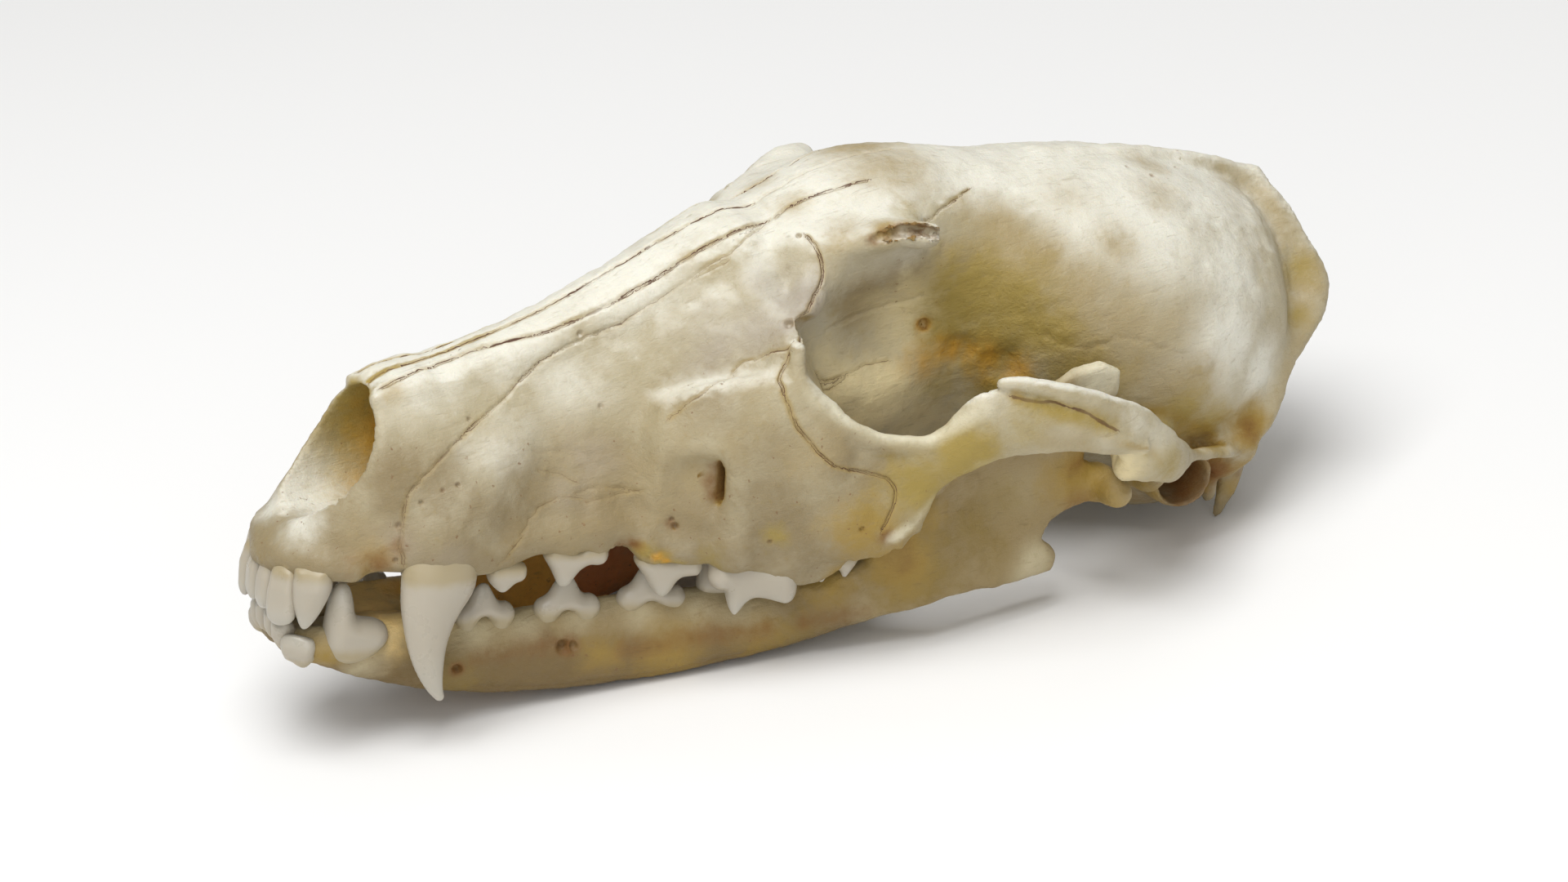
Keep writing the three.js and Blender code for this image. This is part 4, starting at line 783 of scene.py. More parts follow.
def enamelMaterial(name, look):
    s = Surface(name)
    coords = s.node("TexCoord").outputs["Object"]
    broad, fine = s.noise(coords, 220, 4), s.noise(coords, 1400, 4, 0.6)
    colour = s.tint(s.span(s.mark("height"), 0.45, 1.0), look["crown"], look["tip"])
    neck = s.plus(s.mark("gum"), s.times(s.minus(broad, 0.5), 1.6))  # mm above the bone, with a wavy edge
    colour = s.tint(s.span(neck, 1.4, -0.6, (0, 0.8)), colour, look["neck"])
    colour = s.tint(s.span(fine, 0.6, 0.8, (0, 0.15)), colour, look["neck"])
    rough = s.span(broad, 0.3, 0.7, (look["roughness"], look["roughness"] + 0.16))
    s.feed(s.shader, {"Base Color": colour, "Roughness": rough})
    s.bump(fine, 0.15, 0.0001)
    s.translucent(0.2, (1.0, 0.7, 0.45), 0.0012)
    return s.material


boneSurface = boneMaterial("dry bone", boneLook)
jawSurfacePaintedShadeAndLight = boneMaterial("dry jaw bone, painted shade and light", jawLookPaintedShadeAndLight)
enamelSurface = enamelMaterial("tooth enamel", enamelLook)


# fine marks on the bones
def settledLine(clay, rows, wiggle):
    # a seam's rows made a fine, slightly wavy line that lies on the clay
    line = clay.settle(smoothRows(rows, 6))
    waves = np.array([noise.noise_vector(Vector(p) * 0.7) + 0.5 * noise.noise_vector(Vector(p) * 2.1) for p in line])
    return clay.settle(line + wiggle * waves)


def nearSeams(points, normals, seams, reach=1.6):
    # nearest seam: distance, distance with its side as the sign, half width, depth and darkness
    out = {"far": np.full(len(points), reach), "side": np.full(len(points), reach)}
    out.update({key: np.zeros(len(points)) for key in ("wide", "deep", "dark")})
    out["wide"] += 0.1
    for wide, deep, dark, line in seams:
        near = np.flatnonzero(((points > line.min(0) - reach) & (points < line.max(0) + reach)).all(1))
        for a, b in zip(line[:-1], line[1:]):
            run = b - a
            length = np.linalg.norm(run)
            if length < 1e-4:
                continue
            close = near[(np.abs(points[near] - (a + b) / 2) < reach + length).all(1)]
            off = points[close] - a
            off = off - np.clip(off @ run / length ** 2, 0, 1)[:, None] * run
            away = np.linalg.norm(off, axis=1)
            better = away < out["far"][close]
            spots, off, away = close[better], off[better], away[better]
            out["far"][spots] = away
            out["side"][spots] = away * np.where((np.cross(normals[spots], run) * off).sum(1) > 0, 1, -1)
            out["wide"][spots], out["deep"][spots], out["dark"][spots] = wide, deep, dark
    return out


def nearSpots(points, spots):
    out = np.zeros(len(points))
    for x, y, z, radius, strength in spots:
        away = ((points - (x, y, z)) ** 2).sum(1) / radius ** 2
        out = np.maximum(out, strength * np.exp(-0.8 * away))
    return out


def roughNoise(points, scale):
    return np.array([noise.noise(Vector(p) * scale) for p in points])


def carve(points, normals, seams, pits, breaks):
    field = nearSeams(points, normals, seams)
    depth = field["deep"] * np.exp(-(field["far"] / (field["wide"] * 1.3 + 0.12)) ** 2)
    for x, y, z, radius, deep, dark in pits:
        away = ((points - (x, y, z)) ** 2).sum(1) / radius ** 2
        depth = np.maximum(depth, deep * np.exp(-away ** 1.5))
    broken = nearSpots(points, breaks)
    torn = np.flatnonzero(broken > 0.2)
    if len(torn):
        ragged = roughNoise(points[torn], 0.9) + 0.7 * roughNoise(points[torn], 2.2)
        depth[torn] += (broken[torn] - 0.2) * (0.5 + 1.1 * ragged)
    return points - normals * depth[:, None]


relief = [  # texture, strength in metres
    (cloudTexture("broad relief", 0.008, 2), 0.0005), (cloudTexture("middle relief", 0.0038, 2), 0.00045),
    (cloudTexture("small relief", 0.0018, 3), 0.00028)]
seamReach = ((1.3, 0.9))  # the mesh is made finer this near to a seam, in mm, once for each


def boneObject(name, clay, sign, marks):
    # the clay's surface, finer near its marks, carved, and thinned to its number of triangles
    own, triangles, quads = clay.surface()
    piece = makeObject(name, own * (sign, 1, 1), triangles, quads, flip=sign < 0)
    takeUp(piece)
    bpy.ops.object.mode_set(mode="EDIT")
    bpy.ops.mesh.select_all(action="SELECT")
    bpy.ops.mesh.quads_convert_to_tris()
    bpy.ops.object.mode_set(mode="OBJECT")
    fold = np.array([sign, 1, 1])
    for reach in seamReach:
        points = placesOf(piece) * fold
        chosen = nearSeams(points, normalsOf(piece) * fold, marks["seams"])["far"] < reach
        for x, y, z, radius, *_ in marks["pits"] + marks["breaks"]:
            chosen |= ((points - (x, y, z)) ** 2).sum(1) < max(1.3 * radius, 0.9) ** 2
        subdivideNear(piece, chosen)
    for texture, strength in relief:
        modify(piece, "DISPLACE", texture=texture, strength=strength, mid_level=0.5)
    points = carve(placesOf(piece) * fold, normalsOf(piece) * fold, marks["seams"], marks["pits"], marks["breaks"])
    piece.data.vertices.foreach_set("co", onTable(points * fold).ravel())
    piece.data.update()
    count = len(piece.data.polygons)
    if count > marks["triangles"]:
        modify(piece, "DECIMATE", ratio=marks["triangles"] / count)
    print(name, "has", count, "then", len(piece.data.polygons), "triangles")
    paintBone(piece, clay, fold, marks)
    return piece


def paintBone(piece, clay, fold, marks):
    points, normals = placesOf(piece) * fold, normalsOf(piece) * fold
    folded = points.copy()
    if marks["mirrored"]:
        folded[:, 0] = np.abs(points[:, 0])
    tints = {tone: nearSpots(folded, marks["spots"].get(tone, [])) for tone in tones}

    def add(tone, values):
        tints[tone] = np.maximum(tints[tone], values)

    # faces of the nose cavity and of the jaws' inner sides, which look towards the middle; part of their tints is
    # painted light in the shade there
    inward = np.clip(-2.5 * np.sign(points[:, 0]) * normals[:, 0], 0, 1)
    for tone, spots in marks["inward"].items():
        add(tone, nearSpots(folded, spots) * inward)
    for tone, spots in marks["inside"].items():
        add(tone, nearSpots(points, spots) * np.clip(-2 * normals[:, 0], 0, 1))
    for tone, spots in marks["nearSide"].items():
        add(tone, nearSpots(points, spots))
    # painted light and shade: paler on faces that look up and lie high, darker dun low down
    strength, low, high = marks["paintedTopLight"]
    upward = np.clip((normals[:, 2] - 0.45) / 0.4, 0, 1)
    add("pale", strength * upward * np.clip((points[:, 2] - low) / (high - low), 0, 1))
    floor, span, strength = marks["paintedLowShade"]
    add("dun", strength * np.clip((floor - points[:, 2]) / span, 0, 1))
    # dirt and painted shade in hollows: ochre, and dark brown in tight ones, found by how much clay lies round a
    # place a little off the surface
    close, wide = (np.clip(1 - clay.sample(points + normals * off) / off, 0, 1) for off in (2.0, 5.5))
    add("ochre", np.clip(1.4 * (wide - 0.4), 0, 0.85))
    add("brown", np.clip(1.5 * (close - 0.6), 0, 0.8))
    for tone, values in tints.items():
        setAttribute(piece, tone, values)
    field = nearSeams(points, normals, marks["seams"])
    by = np.flatnonzero(field["far"] < 1.5)
    dark = field["dark"][by]
    field["dark"][by] = np.clip(dark * (0.85 + roughNoise(points[by], 0.2)), 0.1 * dark, 1)
    field["wide"][by] *= np.clip(0.95 + 0.8 * roughNoise(points[by], 0.6), 0.5, 1.5)
    for name, key in (("seam", "side"), ("seamFar", "far"), ("seamWide", "wide"), ("seamDark", "dark")):
        setAttribute(piece, name, field[key])
    pitShadeSpots = [[x, y, z, 0.9 * radius, dark] for x, y, z, radius, deep, dark in marks["pits"]]
    setAttribute(piece, "pitShade", nearSpots(points, pitShadeSpots))


def longPatch(start, end, radius, strength):
    # a row of spots close enough to read as one patch
    count = max(2, int(math.dist(start, end) / (0.7 * radius)))
    run = [b - a for a, b in zip(start, end)]
    return [[*(a + d * k / (count - 1) for a, d in zip(start, run)), radius, strength] for k in range(count)]


headSeams = [  # half width, depth, darkness, wiggle, then x, y, z along the left half
    [0.2, 0.36, 1.1, 0.22, [  # side of the nasal bone
        [4.1, 15.8, 27.5], [3.5, 20.1, 29.5], [2.8, 25.9, 31], [2.9, 31.3, 32.5], [3.7, 35.2, 33.4], [4.9, 43, 35.3],
        [5.7, 50.1, 37.9], [6, 55.3, 40.3], [6.3, 62.1, 43.8], [6.4, 67.1, 46.6], [6.9, 73.9, 49.6], [5.8, 82.6, 52],
        [6.4, 87.1, 54], [7.8, 95.3, 55.8]]],
    [0.16, 0.3, 0.55, 0.25, [  # premaxilla and maxilla
        [14, 15.8, 3.4], [14, 15, 7], [14, 15.4, 10.8], [13.4, 16.3, 14.3], [13.1, 20.1, 18], [11.4, 25.7, 22],
        [9.3, 32.6, 25.8], [7.3, 39.5, 30.5], [7, 45.8, 33.5], [7.6, 53.5, 36.3]]],
    [0.09, 0.15, 0.4, 0.25, [  # maxilla and frontal bone
        [7.6, 53.5, 36.3], [8.3, 61.9, 41.2], [8.9, 68.5, 45.3], [9.3, 71.2, 46.7], [8.4, 74.7, 48.9],
        [5.9, 80, 50.6]]],
    [0.08, 0.12, 0.4, 0.1, [[8.8, 64.8, 42.8], [9.3, 67.4, 44], [9.8, 70.3, 45.4]]],
    [0.15, 0.36, 1.3, 0.15, [  # frontal and lacrimal bone, down to the eye socket's rim
        [13.2, 82.1, 49.6], [14.4, 82.5, 49.2], [15.9, 82.7, 48.1], [17.1, 82.9, 46.7], [18, 82.8, 45.1],
        [19, 81.9, 43.7], [20.3, 80.3, 42.4], [21.4, 79, 41.4], [22.3, 78.3, 40.2], [23.3, 77.2, 38.8],
        [24.1, 76.2, 37.3], [25.1, 75.3, 35.6]]],
    [0.12, 0.2, 0.6, 0.2, [  # maxilla and cheekbone, upper part
        [20.1, 56.5, 24.7], [20.6, 58.3, 26.5], [21.5, 60.9, 28.6], [21.1, 64.5, 30.6], [19.5, 68.3, 31.9],
        [20.7, 70.7, 33.2], [22.5, 72.1, 34.7], [25.1, 75.3, 35.5]]],
    [0.13, 0.36, 1.1, 0.2, [  # maxilla and cheekbone, lower part
        [25.3, 74.1, 34.9], [26.3, 71.6, 32.2], [28.2, 71.8, 29.8], [29.9, 72.9, 26], [31.5, 75.4, 22.4],
        [33, 79, 19.1], [33.5, 84.1, 17.7], [34.8, 87.7, 16.5], [35.6, 88.8, 14.2], [35.4, 88, 10.3],
        [34.9, 87.3, 8.4]]],
    [0.3, 0.25, 0.12, 0.2, [  # groove and seams inside the eye socket
        [15, 86.2, 34.6], [14.3, 88.6, 35.1], [13.7, 91.9, 35.8], [13.5, 94.7, 36.4], [14.3, 100.3, 37.7],
        [15.2, 102.7, 38.7]]],
    [0.09, 0.15, 0.6, 0.25, [
        [15.8, 84.5, 27.8], [15.7, 85.4, 26.6], [15.5, 86.2, 26.2], [15.5, 88.2, 26.3], [15.2, 90.3, 26.8],
        [14.8, 92.2, 27], [14.4, 93.8, 27.5], [14.2, 95.9, 27.7], [14.2, 98.2, 28]]],
    [0.08, 0.12, 0.5, 0.15, [[15.8, 85.4, 26.2], [15.5, 86.4, 24.5], [15.5, 88, 25], [15.3, 90.3, 26.3]]],
    [0.11, 0.22, 0.7, 0.3, [  # crack behind the ledge over the eye socket
        [15.5, 102, 50.8], [14, 103.9, 51], [12.8, 106, 52], [12.4, 107.5, 52.2], [11.4, 110.1, 53],
        [10.4, 112.7, 53.5]]],
    [0.3, 0, 0.9, 0.05, [  # dirt in the groove of the arch
        [41.8, 105, 30.6], [43.4, 108.6, 29.8], [44.6, 112.4, 29.1], [45.2, 117, 27.6], [45.6, 122, 25]]],
    [0.3, 0.14, 0.1, 0.5, [  # scaly edge low on the braincase
        [22.2, 122.7, 32.3], [23.5, 125, 31.5], [24.4, 126.8, 31], [26.3, 130.7, 31.6], [27.5, 134.7, 32.8],
        [28.9, 140.9, 30.8]]],
    # low ridges and scratches on the side of the muzzle
    [0.35, 0.2, 0.05, 0.1, [[15.5, 37.5, 19.8], [14.8, 40.5, 19], [14.6, 43.5, 18.8], [15.2, 46.5, 17.4]]],
    [0.3, 0.2, 0.05, 0.1, [[15, 42.2, 18.6], [15.2, 44.6, 18], [15.8, 47.6, 16.4]]],
    [0.12, 0.16, 0.3, 0.3, [[16, 43.3, 12.5], [17, 47.4, 13.2], [18, 53.4, 12.5]]],
    [0.12, 0.16, 0.35, 0.4, [[16, 34, 6.4], [16, 36.7, 9.9], [16, 40.1, 12.1]]],
    [0.1, 0.14, 0.3, 0.3, [[16.5, 45.2, 11], [17.2, 50.4, 12], [18, 54.3, 12.8]]],
    [0.1, 0.14, 0.3, 0.2, [[16, 41.2, 12], [16, 44.1, 11.6]]],
    [0.12, 0.16, 0.35, 0.3, [[17, 30.6, 2.6], [16.6, 32.4, 4.6], [16, 34.4, 5.8]]],
    [0.1, 0.14, 0.25, 0.2, [[15, 37.5, 16.4], [15, 40.5, 15.6], [15.5, 43.5, 14]]],
]
middleSeams = [
    [0.26, 0.5, 1.3, 0.12, [
        [0, 14.5, 29], [0, 26, 31], [0, 38, 34.2], [0, 50, 39.4], [0, 62, 45.2], [0, 72, 49.6], [0, 80, 51.4]]],
    [0.15, 0.2, 0.3, 0.4, [[0, 80, 51.4], [0, 92, 55.6], [0, 104, 57.4]]],
    [0.14, 0.25, 0.5, 0.15, [[0, 6, -1], [0, 30, 0.5], [0, 58, 1], [0, 84, 0.5]]],
]
headPits = [  # on the left half: x, y, z, radius, depth, darkness; the darkness is painted shade in the hole
    [15, 23.7, 15.6, 0.35, 0.5, 0.8], [14.4, 18, 13.2, 0.35, 0.5, 0.8], [14.7, 21.3, 14.9, 0.3, 0.4, 0.8],
    [12.1, 13.1, 13, 0.35, 0.5, 0.8], [13.9, 14.7, 9.6, 0.5, 0.5, 0.8], [11.3, 14.9, 17.8, 0.4, 0.5, 0.8],
    [14.2, 14.3, 4.1, 0.4, 0.5, 0.8], [6.8, 47.1, 34.9, 0.45, 0.6, 0.8], [12.6, 48.5, 24.9, 0.35, 0.5, 0.8],
    [10.1, 27.4, 24.1, 0.35, 0.5, 0.8], [21.6, 58, 7.3, 0.55, 0.7, 0.8], [18.5, 52.8, 5.9, 0.45, 0.5, 0.8],
    [20.6, 56.6, 7, 0.4, 0.5, 0.8], [21.5, 57.4, 8.5, 0.35, 0.5, 0.8], [18.9, 53.4, 7.7, 0.35, 0.5, 0.8],
    [14.4, 104.4, 33.4, 0.9, 1.2, 0.3], [22, 75.1, 39, 0.7, 0.8, 0.8], [12.4, 81.2, 49.6, 0.4, 0.6, 0.8],
    [15.4, 110.6, 29, 2.8, 0.8, 0], [18.3, 117.6, 26.8, 3, 1, 0], [34.1, 84.2, 8.3, 0.4, 0.5, 0.8],
    [28.5, 71.1, 5.8, 0.35, 0.4, 0.8], [7.5, 144.8, 54.5, 0.35, 0.3, 0.8], [9.5, 148.5, 53.4, 0.4, 0.3, 0.8],
    [4.8, 156.5, 52.8, 0.35, 0.3, 0.8], [9, 128, 5.5, 1.6, 2, 0.5],
]
headBreaks = [  # torn or ragged edges: x, y, z, radius, strength
    [20.2, 92.6, 51.6, 1.5, 0.8], [21.8, 96, 52.2, 1.8, 0.9], [22.4, 99.4, 51.4, 1.8, 0.9], [23, 101, 50.8, 1.2, 0.8],
    [15.5, 102.5, 51, 1.2, 0.6], [2, 177, 47.5, 3, 0.4], [6, 179.5, 44.5, 3, 0.4], [10, 182, 39.5, 2.6, 0.35],
    [20.4, 55, 2.6, 2.4, 0.5], [24, 67, 1, 2, 0.4], [18, 50, 3.6, 2, 0.6],
]
headNearSpots = {  # tints on the left side only, round the torn edge and above the third premolar
    "olive": [
        [17.6, 100, 52.8, 4, 0.6], [14, 104, 52, 3, 0.4], [20.6, 53.8, 3.2, 1.6, 0.9], [21.4, 56.4, 1.8, 1.6, 0.9],
        [22, 58.6, 1, 1.6, 0.7]],
    "tan": [[15.4, 88, 50.4, 4, 0.5], [18, 92, 51.4, 3, 0.6]],
    "ochre": [
        [19, 93, 51.6, 2.4, 0.8], [21, 96.4, 53.2, 2.4, 0.7], [16, 86.4, 48.6, 2.6, 0.4], [20.4, 52.6, 4, 1.3, 0.9],
        [21.6, 57, 2.6, 1.6, 0.7]],
    "gold": [[21.2, 55.4, 2.4, 0.9, 0.8], [21.5, 57, 1.6, 0.8, 0.7]],
    "brown": [
        [20, 90.4, 50.4, 1.2, 0.8], [20.2, 92.4, 51.4, 1.2, 0.9], [20.6, 94.4, 52, 1.2, 0.9],
        [21.2, 96.6, 52, 1.2, 0.9], [21.8, 98.8, 51.8, 1.2, 0.9], [22.2, 100.6, 51.4, 1, 0.7],
        [20.2, 51.8, 4.6, 1.2, 0.8], [19, 50.5, 4.4, 1.4, 0.5], [24.4, 66.5, 3.4, 1.2, 0.7]],
}
headSpots = {  # tints on both halves: x, y, z, radius, strength
    # painted shade: dun on the sides, mostly low down, round the eye socket and under the ledge over it
    "dun": [
        [15.6, 32, 8, 10, 0.8], [17.8, 48, 9, 10, 1], [23.1, 60, 9, 9, 0.9], [29.3, 73, 8, 9, 0.9],
        [33.5, 82, 10, 7, 0.8], [15, 37, 14, 9, 0.8], [16, 48, 15, 9, 0.8], [30, 71, 14, 7, 0.8],
        [15.9, 99.5, 42, 7, 1], [14.4, 93.2, 40, 6, 0.9], [10.6, 6.4, 6, 4, 0.9], [12, 9, 3, 4, 0.8],
        [14, 14, 5, 4, 0.8], [24, 74, 38, 5, 0.5], [20, 128, 30, 9, 0.5], [38, 96, 17, 6, 0.5],
        [29.5, 72, 20, 7, 0.7], [27, 66, 16, 6, 0.5], [36, 92, 16, 5, 0.6], [21.3, 61, 28.9, 7, 0.7],
        [12.6, 10.9, 6, 5, 1], [13.7, 14, 7, 5, 1], [13.1, 13.8, 12.6, 5, 0.9], [12.2, 15, 17, 6, 0.9],
        [14, 21, 15, 7, 0.8], [16, 26, 12, 7, 0.7], [33.2, 79.8, 20.5, 5, 0.9], [34.4, 86.7, 17.4, 5, 0.8],
        [33.2, 80.8, 9.6, 6, 0.8], [34, 85, 6.6, 4, 0.7], [26.5, 146, 37, 7, 0.35], [28.8, 143, 24, 7, 0.6]],
    # painted light: bright straw in the shaded eye socket and under the arch
    "straw": [
        [15, 90, 24, 7, 0.8], [14.5, 97, 20, 9, 1], [14.5, 105, 16, 9, 1], [16, 108, 11, 8, 1], [20, 84, 22, 6, 0.9],
        [15, 86, 30, 5, 0.6], [14, 103, 35, 8, 0.9], [42.5, 125.5, 17.8, 3.4, 1], [39, 129, 16, 4, 1],
        [34, 132, 15, 4, 1]],
    "pale": [
        [0.5, 37.5, 34.8, 8, 1], [1.5, 56.2, 42.8, 9, 1], [1, 77.2, 50.9, 8, 0.9], [4, 90, 55.4, 8, 1],
        [2, 22, 30, 7, 0.8], [12.7, 97.1, 53.6, 7.2, 1], [10.3, 86.8, 52.3, 6, 0.8], [16, 131, 51, 11, 0.9],
        [17.7, 141.9, 50.2, 14, 1], [23, 156, 41.9, 10, 0.75], [28.5, 153.1, 30.5, 9.5, 0.85], [26, 163, 24, 6, 0.8],
        [25.2, 132, 40, 6, 0.4], [1.3, 8.3, 8, 5, 0.8], [5, 2.4, 7.4, 4, 0.7], [9.8, 44.6, 28, 7.2, 0.5],
        [14, 29, 20, 5, 0.4], [13, 34, 22, 6, 0.4], [42, 118, 31, 3, 0.4], [43.4, 126, 26, 3.4, 0.5],
        [43, 131, 22, 4, 0.4], [31, 149, 13.4, 1.6, 1], [28.6, 155, 12, 1.6, 1], [45, 114, 25.4, 3, 0.3],
        [45.6, 120, 23.6, 3, 0.4]],
    "tan": [
        [17, 114, 42, 8, 1], [19.6, 120.5, 44, 7, 1], [23.4, 126.5, 38, 9, 0.9], [25.6, 133, 35, 9, 0.8],
        [27, 141, 33, 8, 0.6], [17, 116.5, 50.4, 5, 1], [14, 147, 51.4, 5, 0.5], [5, 150, 54, 4, 0.6],
        [5, 101, 56.8, 8, 0.75], [17, 118.6, 47.6, 5, 0.9], [21.4, 135, 46, 6, 0.55], [13.6, 130, 52.6, 6, 0.4],
        # the first tan spot on the next line is painted shade in the hollow before the nerve opening
        [22.4, 60.5, 15, 3.2, 0.9], [4.7, 170, 49, 6, 0.5], [10, 166, 48, 6, 0.3],
        *longPatch([4.7, 174, 46.6], [13.2, 180, 35.8], 3.4, 0.6),
        *longPatch([13.2, 180, 35.8], [22, 170, 17], 3.8, 0.85),
        [20, 55, 14, 7, 0.5], [21.6, 60, 22, 7, 0.5], [24, 70, 28, 7, 0.5], [15, 44, 18, 8, 0.5],
        [12.9, 110.8, 51.2, 4, 0.5], [29.1, 145.8, 23, 8, 0.8], [26.4, 131, 29.1, 8, 0.8], [36, 94, 14, 6, 0.7],
        [31.4, 75, 20.5, 5, 0.75], [33.4, 81, 9.6, 4, 0.8], [35, 87.4, 11, 4, 0.6], [12.8, 12, 6, 5, 0.8],
        [18.4, 43, 4, 5, 0.4], [43, 115, 22, 6, 0.6], [15, 92, 34, 6, 0.5], [27, 150, 17, 6, 0.7],
        [24, 74, 38, 5, 0.3], [16, 84, 46, 5, 0.3]],
    "grey": [
        [19.2, 78.4, 41.5, 5, 0.9], [18.7, 72, 37.6, 5, 0.7], [16.2, 66.3, 34.7, 6, 0.5], [14.6, 74.6, 42.6, 4, 0.5],
        [13.8, 13.8, 6, 4.4, 0.6], [15.5, 22, 4, 3.4, 0.5], [21.8, 74.4, 38.5, 2.2, 0.7], [14.8, 45.7, 17.6, 5, 0.4],
        [15.5, 42.8, 12.8, 4, 0.4]],
    "olive": [
        [16.4, 110.4, 38, 8, 1], [19, 118.5, 36, 8, 1], [36.5, 93, 15.4, 6, 0.9], [39.2, 98.6, 20.4, 5, 1.3],
        [19.8, 121, 23, 5, 0.8], [41.6, 106.6, 26.6, 4, 0.6], [18, 118, 22, 6, 0.8], [15, 109, 22, 5, 0.6],
        [43, 133, 18, 3.4, 0.7], [29.1, 71.7, 7.1, 1.8, 0.9], [30, 72.5, 5.6, 1.5, 0.7],
        *longPatch([41.8, 106, 30], [45.8, 121, 25.6], 1.7, 0.8), [17.6, 115, 30, 8, 1], [17.4, 113.5, 45, 4, 0.5],
        [21.9, 123.1, 33.6, 6, 0.9], [16, 108, 32, 6, 0.9], [24, 128, 24, 8, 0.8], [29.5, 146, 19, 5, 0.9],
        [28, 153, 16, 4, 0.8], [13, 178.6, 36, 3.4, 0.7], [16.5, 176, 29, 3, 0.6], [34.4, 85, 10, 4, 0.6],
        [23.6, 64, 2.4, 3, 0.6]],
    "ochre": [
        [41.2, 105.4, 30.8, 1.4, 0.7], [43.6, 109.4, 29.4, 0.9, 0.4], [35.2, 87.5, 8, 4, 0.6],
        [31.8, 126.4, 13.4, 4.2, 0.8], [28.3, 138.7, 7.9, 4, 0.9], [31.2, 150, 16.4, 3, 0.9], [28, 158, 15, 3.4, 0.8],
        [25.9, 162, 14.5, 4.4, 1], [13, 12, 4.6, 3.4, 0.6], [34, 84.6, 8, 5, 0.8], [25.4, 155.2, 9.6, 3.4, 0.9],
        [24.4, 152.9, 5, 3, 0.6], [5.7, 83.5, 52.5, 3, 0.5], [5.9, 65.1, 45.8, 1.6, 0.5], [4.8, 17, 27.5, 2, 0.6],
        [32, 90, 2, 5, 0.8], [27.4, 84, -1, 3, 0.7], [12, 10, 2.4, 2.4, 0.6], [5, 1, 1, 2.4, 0.5],
        [26, 160, 6, 4, 0.8], [22, 163, 2, 3, 0.7], [25, 144, 5, 3, 0.8]],
    "gold": [
        *longPatch([14.8, 107.6, 29.4], [16.4, 112.6, 28.4], 2.4, 0.62),
        *longPatch([17, 115, 27.2], [19.2, 120, 25.8], 3, 0.62), [14.6, 104.5, 28, 4, 0.4], [17.4, 114, 27, 5, 0.35],
        [14.4, 104.2, 33.4, 1.1, 1]],
    # painted highlights: ivory along the eye socket's rim and the arch's lower ridge
    "ivory": [
        *longPatch([28.5, 76.2, 29.4], [31.8, 83.6, 24.4], 1.6, 0.7),
        *longPatch([31.8, 83.6, 24.4], [36, 93.8, 23.4], 1.6, 0.8),
        *longPatch([36, 93.8, 23.4], [39.4, 101, 28.6], 1.6, 0.6),
        *longPatch([35.6, 89, 6.4], [37.6, 95, 12.2], 1.1, 0.6),
        *longPatch([37.6, 95, 12.2], [40.6, 101, 18.4], 1.2, 0.7),
        *longPatch([40.6, 101, 18.4], [45, 114, 21.2], 1.4, 0.5)],
    "brown": [
        # the long patch here and the spot at 23, 62.6, 15 are painted shade down the hollow before the nerve opening;
        # the spots at 24, 151, 6 and 20, 149, 7 and 23, 156.5, 7 are brown stain and painted shade in the ear opening
        [25.4, 155.2, 9.4, 2.6, 0.6], *longPatch([23.8, 63, 12.6], [23.8, 63, 17.4], 1.3, 0.55), [24, 151, 6, 5, 1],
        [20, 149, 7, 5, 1], [23, 156.5, 7, 4, 1], [25.9, 161.6, 14, 2.4, 0.6], [23, 62.6, 15, 1.3, 0.6],
        [21.2, 57.3, 7.8, 0.9, 0.6], [35.1, 88, 7, 1.4, 0.7], [22.6, 164, 5, 2, 0.5], [12, 8.6, 3.2, 2.6, 0.5],
        [13.4, 12, 3.4, 2.6, 0.55], [13.9, 14.6, 6, 2, 0.5]],
}

headWhole = headHalf.mirroredAcross()
headWhole.strap([  # the right ledge over the eye socket still has its point
    [-14, 90, 48.4, 2.2, 3.6], [-18.5, 96.6, 50.4, 1.6, 3], [-23.2, 101.2, 51.6, 0.9, 1.2],
], soften=3)
headWhole.strap([  # the left one is torn open along its edge
    [19.6, 89.2, 49.8, 0.3, 0.6], [20.3, 91.2, 51, 0.7, 1.2], [20.6, 93.4, 51.6, 0.6, 1.5], [21, 95.4, 52, 0.9, 1.4],
    [21.6, 97.6, 51.9, 0.6, 1.6], [22, 99.6, 51.6, 0.8, 1.3], [22, 101.4, 51, 0.4, 0.8],
], soften=0.3, remove=True)
for sign in (1, -1):
    headWhole.strap([  # groove between the two bones of the arch
        [41.8 * sign, 105, 30.8, 0.5, 0.9], [43.4 * sign, 108.6, 29.9, 0.7, 1.2],
        [44.6 * sign, 112.4, 29.2, 0.7, 1.2], [45.6 * sign, 117, 27.7, 0.7, 1.2], [46.2 * sign, 122, 25, 0.6, 1.1],
        [46.6 * sign, 126.6, 22.6, 0.5, 0.8],
    ], soften=0.2, remove=True)
    headWhole.strap([  # front of the joint surface under the arch
        [41.5 * sign, 127, 16.4, 2, 1.6], [38 * sign, 129.5, 15.8, 2.2, 2.2], [32 * sign, 133.5, 14.8, 2, 2.4],
    ], soften=2)
noseSpots = {
    "olive": [[0, 19, 20, 11, 1.4], [0, 34, 20, 14, 1.4]], "gold": [[0, 27, 15, 10, 1.2], [0, 44, 22, 9, 0.9]],
    # painted light: pale in the shaded front of the nose cavity
    "pale": [[0, 8, 9, 9, 1.2]],
}
